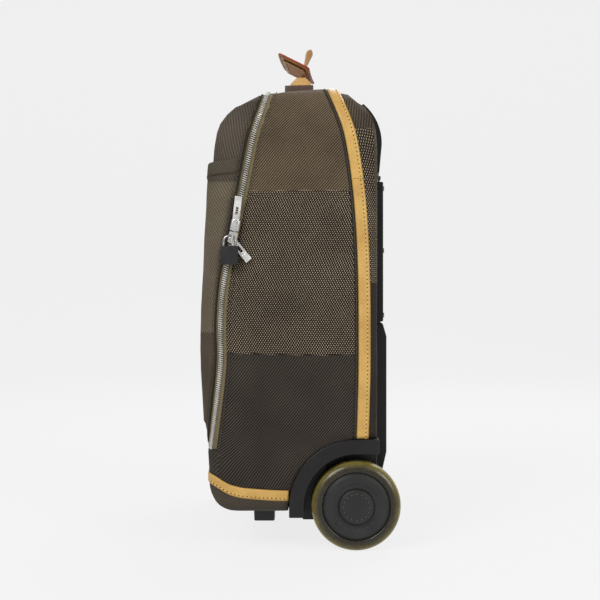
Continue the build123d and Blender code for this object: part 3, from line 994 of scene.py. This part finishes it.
def pocket():
    top, bottom, hem = pocketStyle["top"], pocketStyle["bottom"], pocketStyle["hem"]
    rows = 54
    levels = [bottom + (top - 2 - bottom) * j / rows for j in range(rows + 1)]
    sheet("pocketCanvas", pocketRows(levels, 12, 24, 0.0, 9.2), [frontCanvas, liningCloth], pocketStyle["thick"],
          "lid", "canvas", ["pocket_panel"])
    levels = [top - hem + hem * j / 6 for j in range(7)]
    sheet("pocketHemFold", pocketRows(levels, 12, 24, 0.75, 9.0), [hemCanvas], 1.0, "lid", "canvas", ["pocket_hem"])
    row = pocketRows([top - hem + 1.6], 20, 40, 0.85, 9.4)[0][0]
    line = [(p, Vector((p.x * 0.2 if abs(p.x) < 150 else p.x, -60, 0)).normalized()) for p in row]
    stitches("pocketStitches", line, 3.4, darkThreadAndHoleShade, "lid", "canvas", 0.8)


def stitches(name, line, spacing, thread, body, slotName, size):
    # a row of stitches, with dark dots between them where needle holes would be seen: painted shade where the thread
    # dips into the holes
    finish(rowObject(name, evenly(line, spacing), stitchPattern, thread, size), body, slotName)
    if thread is not darkThreadAndHoleShade:
        # the dots are painted shade in the needle holes, not a colour of the leather or canvas
        holeShade = needleHoleShade if thread is yellowThread else darkThreadAndHoleShade
        holeShadeDots = rowObject(name + "Holes", evenly(line, spacing, spacing / 2), dotPattern, holeShade, size * 1.1)
        finish(holeShadeDots, body, slotName)


hingeStyle = {"low": 103.0, "high": 121.0, "half": 150.0, "columns": 40, "rows": 8, "thick": 0.6}


def sill():
    strip = frontStrip(-84, lowBand, lambda y: sillTop, bagForm, 90, 9, tucked(0.5, 0.1), 0.5)
    sheet("sillPanel", strip, [sillCanvas, liningCloth], panelStyle["thick"], "case", "canvas", ["front_sill"], 0.3)


def hingeCloth():
    # lining cloth that hinges the lid to the sill on the inside
    style = hingeStyle
    points, uvs = [], []
    for i in range(style["columns"] + 1):
        reach = style["half"] * (2 * i / style["columns"] - 1)
        spots = [frontSkin(bagForm, reach, style["low"] + (style["high"] - style["low"]) * k / style["rows"])
                 for k in range(style["rows"] + 1)]
        points.append([hit - normal * (panelStyle["thick"] + 0.5) for hit, normal in spots])
        uvs.append([(reach, hit.z) for hit, _ in spots])
    tape = gridObject("hingeCloth", points, uvs, [liningCloth])
    addModifier(tape, "SOLIDIFY", thickness=style["thick"] * mm, offset=-1)
    outward(baked(tape))
    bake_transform(tape)


def underside():
    # the base cloth: the panel's shape worked soft and slightly uneven
    source = frame["nodes"]["base_panel"]
    obj = bpy.data.objects.new("baseCanvasPanel", source.data.copy())
    scene.collection.objects.link(obj)
    addModifier(obj, "REMESH", mode="VOXEL", voxel_size=2.0 * mm)
    addModifier(obj, "SMOOTH", factor=0.5, iterations=4)
    baked(obj)
    obj.data.materials.clear()
    obj.data.materials.append(baseCanvas)
    normals = [vertex.normal.copy() for vertex in obj.data.vertices]
    for vertex, normal in zip(obj.data.vertices, normals):
        vertex.co += normal * (ripple(vertex.co / mm, 34, 0.45) - 0.2) * mm
    smoothShade(obj)
    finish(obj, "case", "canvas", ["base_panel"])


backFootStyle = {"half": 145.5, "low": 58.0, "high": 127.5, "columns": 58, "rows": 14}


def backFoot():
    # the back cloth between the wheel housings, under the main back panel
    style = backFootStyle
    points = []
    for i in range(style["columns"] + 1):
        x, column = style["half"] * (2 * i / style["columns"] - 1), []
        for k in range(style["rows"] + 1):
            z = style["low"] + (style["high"] - style["low"]) * k / style["rows"]
            hit, normal = castOn(bagForm, Vector((x, core["back"], z)), Vector((0, 1, 0)))
            column.append(hit + normal * (wrinkled(hit, 0.3) - (0.2 if k == style["rows"] else 0)))
        points.append(column)
    uvs = [[(p.x, p.z) for p in column] for column in points]
    sheet("backFootCanvas", (points, uvs), [backCanvas, liningCloth], panelStyle["thick"], "case", "canvas",
          fill=0.3)


say("canvas panels")
loopFine, loopSeam = coreLoop(46, 7, 12), coreLoop(90, 12, 16)
gusset()
framedPanel("backCanvasPanel", trimY, lowTrim, 1, 8, "case", ["back_panel"], [backCanvas, liningCloth], 0.4)
framedPanel("lidCanvas", shifted(zipY, -6.0), lowLid, -1, 12, "lid", ["lid_panel"],
            [frontCanvas, liningCloth], 0.8)
backFoot()
sill()
hingeCloth()
pocket()
underside()

# leather trims and their seams


trimStyle = {"half": 6.75, "height": 1.5, "stitchAt": 3.3, "darkStripFar": -10.6, "darkStripNear": -6.9,
             "darkStripHeight": 0.9, "seamAt": -8.9, "joinZ": 415, "joinFrom": -5.6, "joinStep": 2.2}
bandStyle = {"rise": 6.0, "height": 1.5, "columns": 120, "short": 0.6, "stitchAt": -3.0, "seamAt": 7.6}


def backTrim():
    style, leather = trimStyle, ("case", "tan_leather")
    line = shifted(trimY, style["stitchAt"])
    strip = stripOf(loopSeam, shifted(trimY, -style["half"]), shifted(trimY, style["half"]), lowTrim, bagForm, 9,
                    raised(style["height"]))
    sheet("backTrimLeather", strip, [tanLeather], style["height"], *leather, ["back_trim"])
    stitches("trimStitches", seamLine(loopSeam, line, lowTrim, bagForm, 1.55), 4.6, yellowThread, *leather, 0.9)
    strip = stripOf(loopSeam, shifted(trimY, style["darkStripFar"]), shifted(trimY, style["darkStripNear"]), lowTrim,
                    bagForm, 5, raised(style["darkStripHeight"], 0.3))
    sheet("trimPiping", strip, [pipingAndGapShade], style["darkStripHeight"], "case", "canvas")
    line = shifted(trimY, style["seamAt"])
    stitches("trimSeam", seamLine(loopSeam, line, lowTrim, bagForm, 1.05), 3.0, oliveThread, "case", "canvas", 0.62)
    for label, side in (("Right", 1), ("Left", -1)):
        # a short row across the strap, where its two lengths join
        sample, across = straightSample(side * core["half"], style["joinZ"]), []
        for k in range(6):
            line = shifted(trimY, style["joinFrom"] + style["joinStep"] * k)
            hit, normal = skinAt(sample, depthOf(sample, line, lowTrim, bagForm), lowTrim, bagForm)
            across.append((hit + normal * 1.65, normal))
        stitches("trimJoin" + label, across, 2.4, yellowThread, *leather, 0.75)


def baseBand():
    style, edge = bandStyle, wheelAt.y - archRadius

    def strip(end, low, high, rows, profile):
        return frontStrip(end, lambda y: bandZ(y) + low, lambda y: bandZ(y) + high, bagForm, style["columns"], rows,
                          profile)

    band = strip(edge - style["short"], -style["rise"], style["rise"], 8, raised(style["height"]))
    sheet("baseBandLeather", band, [tanLeather], style["height"], "case", "tan_leather", ["base_band"])
    for shift, thread, label, lift, pitch in ((style["stitchAt"], yellowThread, "Low", 1.6, 4.6),
                                              (style["seamAt"], darkThreadAndHoleShade, "High", 0.4, 3.4)):
        points, _ = strip(edge - 2, shift - 0.1, shift + 0.1, 1, lambda share: lift)
        line = [(a, frontNormal(a)) for a, _ in points]
        stitches("bandStitches" + label, line, pitch, thread, "case", "tan_leather", 0.9)


def frontNormal(p):
    # outward direction of the bag's plan outline at a point, with a round corner
    cornerX, cornerY = 158, -79
    if p.y > cornerY:
        return Vector((math.copysign(1, p.x), 0, 0))
    if abs(p.x) < cornerX:
        return Vector((0, -1, 0))
    return Vector((p.x - math.copysign(cornerX, p.x), p.y - cornerY, 0)).normalized()


say("leather trims")
backTrim()
baseBand()

# zip


zipStyle = {"tapeNear": 1.4, "tapeFar": 8.4, "tapeThick": 0.7, "teethAt": 0.4, "pitch": 2.4, "start": 0.6,
            "seamAt": 9.4, "darkStripFar": -7.6, "darkStripNear": -5.2, "darkStripHeight": 0.8}


def zipHalf(label, side):
    style, title = zipStyle, label.title()
    near, far = sorted((side * style["tapeNear"], side * style["tapeFar"]))
    strip = stripOf(loopSeam, shifted(zipY, near), shifted(zipY, far), lowZip, bagForm, 5, lambda share: -0.75)
    sheet("zipTape" + title, strip, [tapeCloth], style["tapeThick"], label, "zip_tape", ["zip_tape_" + label])
    line, start = seamLine(loopSeam, shifted(zipY, side * style["teethAt"]), lowZip, bagForm, 0.2), style["start"]
    if side < 0:
        # the lid's teeth face the other way and sit between the case's
        line, start = line[::-1], start + style["pitch"] / 2
    teeth = rowObject("zipTeeth" + title, evenly(line, style["pitch"], start), toothPattern, zipSilver)
    finish(teeth, label, "zip_metal", ["zip_teeth_" + label])
    line = seamLine(loopSeam, shifted(zipY, side * style["seamAt"]), lowZip, bagForm, 0.45)
    stitches("zipStitches" + title, line, 3.1, oliveThread, label, "canvas", 0.55)


def lidPiping():
    # a dark strip on the lid's side of the zip: painted shade standing for the gap between the lid canvas and the zip
    # tape
    style = zipStyle
    strip = stripOf(loopSeam, shifted(zipY, style["darkStripFar"]), shifted(zipY, style["darkStripNear"]), lowZip, bagForm,
                    4, raised(style["darkStripHeight"], 0.3))
    sheet("lidPiping", strip, [pipingAndGapShade], style["darkStripHeight"], "lid", "canvas")


say("zip")
zipHalf("case", 1)
zipHalf("lid", -1)
lidPiping()

# hard pieces

slotOf = {part["node"]: part["material_slot"] for part in frame["record"]["subparts"]}
bodyOf = {node: body for body, nodes in frame["record"]["behaviour"]["bodies"].items() for node in nodes}


def eased(node, width, material, segments=2, sharp=38):
    # a CAD piece with its corners eased, as moulding, casting or cutting leaves them
    bm = bmesh.new()
    bm.from_mesh(frame["nodes"][node].data)
    bmesh.ops.remove_doubles(bm, verts=bm.verts, dist=1e-6)
    bmesh.ops.dissolve_limit(bm, angle_limit=math.radians(1), verts=bm.verts, edges=bm.edges)
    obj = smoothShade(meshObject(node + "Eased", bm))
    addModifier(obj, "BEVEL", width=width * mm, segments=segments, limit_method="ANGLE",
                angle_limit=math.radians(sharp))
    addModifier(obj, "WEIGHTED_NORMAL", keep_sharp=True)
    baked(obj)
    obj.data.materials.clear()
    return finish(obj, bodyOf[node], slotOf[node], [node], [material])


say("hard pieces")
easing = {
    housingBlack: {"wheel_housing_right": 1.1, "wheel_housing_left": 1.1, "back_housing": 1.6, "skid_right": 2.2,
                   "skid_left": 2.2, "front_foot": 1.8, "mid_collars": 0.25},
    gripBlack: {"grip": 1.7, "grip_button": 0.6},
    tubeBlack: {"outer_tube_right": 0.15, "outer_tube_left": 0.15, "mid_tube_right": 0.15, "mid_tube_left": 0.15,
                "inner_tube_right": 0.15, "inner_tube_left": 0.15},
    steelBright: {"wheel_axles": 0.4, "axle_rings": 0.3, "housing_screws": 0.4, "foot_bolts": 0.4,
                  "handle_chapes": 0.7, "bearings_right": 0.25, "bearings_left": 0.25, "frame_hoop": 0.2,
                  "padlock_shackle": 0.1},
    zipSilver: {"zip_slider_upper": 0.35, "zip_slider_lower": 0.35},
    hubBlack: {"wheel_core_right": 0.6, "wheel_core_left": 0.6, "hub_cap_right": 0.5, "hub_cap_left": 0.5},
    padlockBlack: {"padlock_body": 0.9},
    studBrass: {"tag_stud": 0.3},
    liningCloth: {"back_board": 0.5, "base_board": 0.5, "lid_board": 0.4},
}
for material, widths in easing.items():
    for node, width in widths.items():
        eased(node, width, material)


def closeRings(bm, rings):
    # joins rings of vertices into a tube that closes on itself
    for here, there in zip(rings, rings[1:] + rings[:1]):
        for k in range(len(here)):
            n = (k + 1) % len(here)
            bm.faces.new([here[k], there[k], there[n], here[n]])
    bmesh.ops.recalc_face_normals(bm, faces=bm.faces)


pullStyle = {"zipFoot": (186.75, -81.6, 300), "zipRun": (0, 32.9, 163.5), "half": 3.9, "slotHalf": 1.5,
             "plate": ([3.2, 9.0, 17.5, 20.5], 0.6), "head": ([20.5, 29.4], 0.85), "ring": 3.5, "wire": 0.75}


def pull(label, rise, ringAt, angle):
    # a slotted plate with a thicker head, hung on a ring
    style = pullStyle
    up = Vector(style["zipRun"]).normalized()
    across = Vector((1, 0, 0)).cross(up)
    origin = Vector(style["zipFoot"]) + up * (rise + ringAt)
    turn = math.radians(angle)
    ahead, beside = up * math.cos(turn) + across * math.sin(turn), across * math.cos(turn) - up * math.sin(turn)
    bm = bmesh.new()
    ys = [-style["half"], -style["slotHalf"], style["slotHalf"], style["half"]]
    for xs, thick in (style["plate"], style["head"]):
        spots = {}
        for i, x in enumerate(xs):
            for k, y in enumerate(ys):
                for level in (-1, 1):
                    at = origin + ahead * x + beside * y + Vector((level * thick, 0, 0))
                    spots[i, k, level] = bm.verts.new(at * mm)
        solid = [(i, k) for i in range(len(xs) - 1) for k in range(3) if (len(xs) == 2 or (i, k) != (1, 1))]
        for i, k in solid:
            cell = [(i, k), (i + 1, k), (i + 1, k + 1), (i, k + 1)]
            bm.faces.new([spots[a, b, 1] for a, b in cell])
            bm.faces.new([spots[a, b, -1] for a, b in reversed(cell)])
            for (a, b), (c, d), beyond in ((cell[0], cell[1], (i, k - 1)), (cell[1], cell[2], (i + 1, k)),
                                           (cell[2], cell[3], (i, k + 1)), (cell[3], cell[0], (i - 1, k))):
                if beyond not in solid:
                    bm.faces.new([spots[a, b, 1], spots[a, b, -1], spots[c, d, -1], spots[c, d, 1]])
    steps, sides = 24, 8
    rings = []
    for i in range(steps):
        a, ring = 2 * math.pi * i / steps, []
        for k in range(sides):
            b = 2 * math.pi * k / sides
            reach = (ahead * math.cos(a) + beside * math.sin(a)) * (style["ring"] + style["wire"] * math.cos(b))
            ring.append(bm.verts.new((origin + reach + Vector((style["wire"] * math.sin(b), 0, 0))) * mm))
        rings.append(ring)
    closeRings(bm, rings)
    obj = smoothShade(meshObject("pull" + label.title(), bm))
    addModifier(obj, "BEVEL", width=0.3 * mm, segments=2, limit_method="ANGLE", angle_limit=math.radians(50))
    addModifier(obj, "WEIGHTED_NORMAL", keep_sharp=True)
    finish(baked(obj), label + "_pull", "zip_metal", ["zip_pull_" + label], [zipSilver])


# the lower pull hangs aside, behind the padlock
pull("upper", 64.0, 3.2, 5.0)
pull("lower", 50.5, -3.2, 231.0)


wheelStyle = {"steps": 96, "near": 165, "far": 175, "round": 8.8, "shoulder": 41.2, "dots": 16, "dotRing": 14.6,
              "dotX": 187.6}


def tyreProfile():
    # (distance out from the case's middle, radius) round the tyre, with two round shoulders
    style, inner, outer = wheelStyle, [], []
    for i in range(11):
        angle = math.pi / 2 * i / 10
        out, up = style["round"] * math.cos(angle), style["shoulder"] + style["round"] * math.sin(angle)
        inner.append((style["near"] - out, up))
        outer.insert(0, (style["far"] + out, up))
    profile = [(157.2, 37.6), (156.3, 38.6), (156.1, 40.5)] + inner
    profile += [(167.5, wheelAt.z), (170, wheelAt.z), (172.5, wheelAt.z)]
    return profile + outer + [(183.9, 40.5), (183.7, 38.6), (182.8, 37.6)]


def onWheel(side, x, radius, angle):
    return Vector((side * x, wheelAt.y + radius * math.cos(angle), wheelAt.z + radius * math.sin(angle)))


def wheel(label, side):
    style, bm = wheelStyle, bmesh.new()
    rings = []
    for i in range(style["steps"]):
        angle = 2 * math.pi * i / style["steps"]
        rings.append([bm.verts.new(onWheel(side, x, r, angle) * mm) for x, r in tyreProfile()])
    closeRings(bm, rings)
    tyre = smoothShade(meshObject("tyreRubber" + label.title(), bm))
    finish(tyre, "wheel_" + label, "wheel_rubber", ["tyre_" + label], [wheelRubberPaintedRimLight])
    # a ring of plain raised dots on the hub cap
    spots = []
    for i in range(style["dots"]):
        angle = 2 * math.pi * i / style["dots"]
        spots.append((onWheel(side, style["dotX"], style["dotRing"], angle),
                      Vector((0, -math.sin(angle), math.cos(angle))), Vector((side, 0, 0))))
    dots = rowObject("hubDots" + label.title(), spots, dotPattern, hubGrey)
    finish(dots, "wheel_" + label, "hub_plastic")


lipStyle = {"x": 149.2, "thick": 5.0, "outline": [(6, 30), (6, 74), (20, 100), (34, 100), (34, 30)]}


def fenderLip(label, side):
    # the dark inner lip of a wheel arch, just behind the tyre
    lip = slab("fenderLip" + label.title(), lipStyle["outline"], lipStyle["x"], side, lipStyle["thick"], 1.0, 2)
    finish(lip, "case", "black_plastic", materials=[housingBlack])


say("wheels")
for label, side in (("right", 1), ("left", -1)):
    fenderLip(label, side)
    wheel(label, side)

# straps, handle and tag


def ribbon(name, path, sides, widths, thickness, material, columns=4):
    # a flat strap along a path of points; sides are the directions across it
    points, uvs, run, last = [], [], 0.0, None
    for p, side, width in zip(path, sides, widths):
        run += 0 if last is None else (p - last).length
        last = p
        points.append([p + side * width * (k / columns - 0.5) for k in range(columns + 1)])
        uvs.append([(width * (k / columns - 0.5), run) for k in range(columns + 1)])
    obj = gridObject(name, points, uvs, [material])
    addModifier(obj, "SOLIDIFY", thickness=thickness * mm, offset=0)
    addModifier(obj, "BEVEL", width=thickness * 0.3 * mm, segments=2, limit_method="ANGLE",
                angle_limit=math.radians(50))
    return outward(baked(obj))


strapStyle = {"x": 75, "y": 83.3, "low": 150, "length": 290, "width": 26, "thick": 1.3, "uneven": 0.35}


def packingStraps():
    style, steps = strapStyle, 40
    for label, side in (("Right", 1), ("Left", -1)):
        path = []
        for i in range(steps + 1):
            z = style["low"] + style["length"] * i / steps
            path.append(Vector((side * style["x"], style["y"] + ripple((side * 9, z, 3), 40, style["uneven"]), z)))
        obj = ribbon("packingStrap" + label, path, [Vector((1, 0, 0))] * len(path), [style["width"]] * len(path),
                     style["thick"], webbing, 6)
        finish(obj, "case", "webbing", ["packing_straps"])


rollStyle = {"arch": 177.9, "sink": 374.1, "half": 80, "y": 3, "thick": 7.4, "taper": 1.3, "flat": 0.94}


def carryHandle():
    # a leather roll on a shallow arch, thinner at its ends, sewn along the underside
    style, radius = rollStyle, rollStyle["arch"]
    reach = math.asin(style["half"] / radius)
    around, along = 24, 48
    points, uvs, ridge = [], [], []
    for i in range(along + 1):
        angle = -reach + 2 * reach * i / along
        centre = Vector((radius * math.sin(angle), style["y"], style["sink"] + radius * math.cos(angle)))
        outwards = Vector((math.sin(angle), 0, math.cos(angle)))
        end = min(i, along - i) / along
        size = 0.0 if i in (0, along) else style["thick"] - style["taper"] * max(1 - end / 0.12, 0) ** 2
        ring = []
        for k in range(around + 1):
            turn = 2 * math.pi * k / around
            r = size * (1 + 0.10 * max(math.cos(turn - math.pi), 0) ** 12)
            ring.append(centre + outwards * r * math.cos(turn) + Vector((0, r * math.sin(turn) * style["flat"], 0)))
        points.append(ring)
        uvs.append([(size * 2 * math.pi * k / around, angle * radius) for k in range(around + 1)])
        if 2 < i < along - 2:
            ridge.append((centre, outwards, size))
    obj = gridObject("carryHandleRoll", points, uvs, [handleLeather])
    bm = bmesh.new()
    bm.from_mesh(obj.data)
    bmesh.ops.remove_doubles(bm, verts=bm.verts, dist=1e-6)
    bm.to_mesh(obj.data)
    bm.free()
    finish(outward(obj), "top_handle", "tan_leather", ["carry_handle"])
    for label, lean in (("Front", -1), ("Back", 1)):
        line = []
        for centre, outwards, size in ridge:
            away = (outwards * -0.80 + Vector((0, lean * 0.60, 0))).normalized()
            line.append((centre + Vector((away.x, away.y * style["flat"], away.z)) * (size + 0.15), away))
        stitches("handleStitches" + label, line, 3.2, yellowThread, "top_handle", "tan_leather", 0.8)


def roundedSheet(name, width, height, corner, matrix, thickness, materials, bend=0.0, across=16, up=10):
    # a flat piece with rounded corners, bent a little along its length
    points, uvs = [], []
    for i in range(across + 1):
        column, marks = [], []
        for k in range(up + 1):
            x, y = rimmed((i / across - 0.5) * width, (k / up - 0.5) * height, width, height, corner)
            z = bend * (2 * x / width) ** 2 - bend / 3
            column.append(matrix @ Vector((x, y, z)))
            marks.append((x, y))
        points.append(column)
        uvs.append(marks)
    obj = gridObject(name, points, uvs, materials)
    addModifier(obj, "SOLIDIFY", thickness=thickness * mm, offset=0, material_offset_rim=len(materials) - 1)
    addModifier(obj, "BEVEL", width=thickness * 0.25 * mm, segments=2, limit_method="ANGLE",
                angle_limit=math.radians(50))
    return outward(baked(obj))


patchStyle = {"x": 100, "y": 3, "width": 56, "height": 35, "corner": 6, "thick": 2.0}
# name, finish, slot, distance out, thickness and (y, z) outline of the pieces outside the handle's post
postPieces = (("handleFlap", handleLeather, "tan_leather", 91.6, 2.6,
               [(-9, 530), (-8.5, 538), (-1, 545), (9, 545.5), (16, 539), (17, 530)]),
              ("handleBlock", darkLeather, "dark_leather", 91.4, 4.4,
               [(-15, 519.5), (-15, 535.8), (19, 536.4), (19, 521.5)]))


def handlePatch(label, side):
    # a sewn leather patch that spreads the handle's pull over the top
    style = patchStyle
    width, height = style["width"], style["height"]

    def onTop(x, y):
        return castOn(bagForm, Vector((side * style["x"] + x, style["y"] + y, core["top"])), Vector((0, 0, 1)))

    points, uvs = [], []
    for i in range(17):
        marks = [rimmed((i / 16 - 0.5) * width, (k / 12 - 0.5) * height, width, height, style["corner"])
                 for k in range(13)]
        column = []
        for x, y in marks:
            hit, normal = onTop(x, y)
            rim = min(max(min(width / 2 - abs(x), height / 2 - abs(y)) / 2, 0), 1)
            column.append(hit + normal * style["thick"] * (0.3 + 0.7 * rim))
        points.append(column)
        uvs.append(marks)
    sheet("handlePatch" + label, (points, uvs), [darkLeather], style["thick"], "case", "dark_leather",
          ["handle_patches"])
    spots = [onTop(x, y) for x, y in seamRing(48, 40, 26, width / 2 - 2.4, height / 2 - 2.4)]
    stitches("patchStitches" + label, [(hit + normal * 2.1, normal) for hit, normal in spots], 3.4, yellowThread,
             "case", "dark_leather", 0.8)
    for title, leather, slotName, x, thick, outline in postPieces:
        piece = smoothShade(slab(title + label, outline, x, side, thick, 0.9, 3, cuts=3))
        finish(piece, "case", slotName, materials=[leather])


tagStyle = {"width": 98, "height": 43, "corner": 5, "thick": 2.8, "bend": 1.4, "lean": -27, "turn": -4.7,
            "seat": (0, -1.4, 574.7)}


def luggageTag():
    style = tagStyle
    seat = Matrix.Translation(style["seat"]) @ Matrix.Rotation(math.radians(style["turn"]), 4, "Z")
    seat = seat @ Matrix.Rotation(math.radians(style["lean"]), 4, "X")
    panel = roundedSheet("tagLeatherPanel", style["width"], style["height"], style["corner"], seat, style["thick"],
                         [tagLeather, edgeRed], bend=style["bend"], across=22, up=12)
    finish(panel, "tag", "tag_leather", ["tag_panel"])
    line, down = [], (seat.to_3x3() @ Vector((0, 0, -1))).normalized()
    for x, y in seamRing(64, 70, 32, 46, 18.6):
        bent = style["bend"] * (2 * x / style["width"]) ** 2 - style["bend"] / 3
        line.append((seat @ Vector((x, y, bent - 1.5)), down))
    stitches("tagStitches", line, 3.0, yellowThread, "tag", "tag_leather", 0.75)
    under = seat @ Matrix.Translation((0, 0, -2.2))
    card = roundedSheet("tagCard", 66, 24, 2, under @ Matrix.Translation((0, 0, 0.2)), 0.5, [paperCard])
    finish(card, "tag", "tag_clear")
    clear = roundedSheet("tagWindowSheet", 70, 26, 2, under @ Matrix.Translation((0, 0, -0.5)), 0.4, [clearWindow])
    finish(clear, "tag", "tag_clear", ["tag_window"])
    for label, x, y, w, h in (("Front", 0, -13.2, 78, 5), ("Back", 0, 13.2, 78, 5), ("Right", 36.5, 0, 5, 22),
                              ("Left", -36.5, 0, 5, 22)):
        rail = roundedSheet("tagFrame" + label, w, h, 1.2, under @ Matrix.Translation((x, y, -0.8)), 1.0,
                            [tagLeather], across=8, up=4)
        finish(rail, "tag", "tag_leather")
    lean = Matrix.Translation((0, 3, 552)) @ Matrix.Rotation(math.radians(-14.9), 4, "X")
    path = [(0.9, 50.2), (0.8, 48.6), (0.7, 46.6), (0.5, 44), (0.1, 38), (-0.3, 30), (-0.6, 22), (-0.9, 14)]
    path += [(9.3 * math.cos(a), 9.3 * math.sin(a)) for a in
             [math.radians(97 + 346 * i / 30) for i in range(31)]]
    path += [(1.4, 13), (1.3, 16), (1.2, 21)]
    points = [lean @ Vector((0, y, z)) for y, z in path]
    widths = [2, 6.5, 10, 12] + [12] * (len(points) - 4)
    twists = [0.85, 0.82, 0.78, 0.7, 0.5, 0.25, 0.08] + [0.0] * (len(points) - 7)
    sides = [Vector((math.cos(a), -math.sin(a), 0.2 * math.sin(a))).normalized() for a in twists]
    strap = ribbon("tagStrapLoop", points, sides, widths, 1.5, tagLeather)
    finish(strap, "tag", "tag_leather", ["tag_strap"])


say("straps, handle and tag")
packingStraps()
carryHandle()
for label, side in (("Right", 1), ("Left", -1)):
    handlePatch(label, side)
luggageTag()

# camera and light

cameraAt = Vector((1.392, 0.003, 0.280))
camera = bpy.data.objects.new("camera", bpy.data.cameras.new("camera"))
camera.data.sensor_width, camera.data.lens = 36.0, 65.25
camera.location = cameraAt
camera.rotation_euler = (math.radians(90), 0, math.radians(90))
scene.collection.objects.link(camera)
scene.camera = camera


def softLight(name, place, aim, size, power):
    lamp = bpy.data.lights.new(name, "AREA")
    lamp.shape, lamp.size, lamp.energy = "SQUARE", size, power
    obj = bpy.data.objects.new(name, lamp)
    obj.location = place
    obj.rotation_euler = (Vector(aim) - Vector(place)).to_track_quat("-Z", "Y").to_euler()
    scene.collection.objects.link(obj)


softLight("keyLight", (2.2, -1.6, 2.2), (0, 0, 0.3), 1.5, 78)
softLight("fillLight", (1.8, 1.9, 1.2), (0, 0, 0.3), 1.2, 34)
softLight("backLight", (-1.6, 0.6, 2.0), (0, 0, 0.4), 1.4, 30)
world = bpy.data.worlds.new("studio")
world.use_nodes = True
background = world.node_tree.nodes["Background"].inputs
background["Color"].default_value, background["Strength"].default_value = (0.87, 0.87, 0.87, 1), 0.5
scene.world = world
scene.view_settings.view_transform = "Standard"

# the floor curves up behind the case, as a paper backdrop does
floorStyle = {"near": 6.0, "far": -2.5, "curve": 1.5, "top": 6.0, "half": 8.0, "steps": 12}
bm = bmesh.new()
outline = [(floorStyle["near"], 0.0), (floorStyle["far"], 0.0)]
for i in range(1, floorStyle["steps"] + 1):
    a, curve = math.pi / 2 * i / floorStyle["steps"], floorStyle["curve"]
    outline.append((floorStyle["far"] - curve * math.sin(a), curve * (1 - math.cos(a))))
outline.append((floorStyle["far"] - floorStyle["curve"], floorStyle["top"]))
edges = [[bm.verts.new((x, y, z)) for y in (-floorStyle["half"], floorStyle["half"])] for x, z in outline]
for (a, b), (c, d) in zip(edges, edges[1:]):
    bm.faces.new([a, b, d, c])
floor = smoothShade(meshObject("floor", bm))
floorFinish = plainMaterial("floorFinish", {
    "Roughness": 1.0, "Base Color": (0.08, 0.08, 0.08, 1), "Specular IOR Level": 0.0,
    "Emission Color": (1, 1, 1, 1), "Emission Strength": 0.803})[0]
floor.data.materials.append(floorFinish)

bpy.context.view_layer.update()
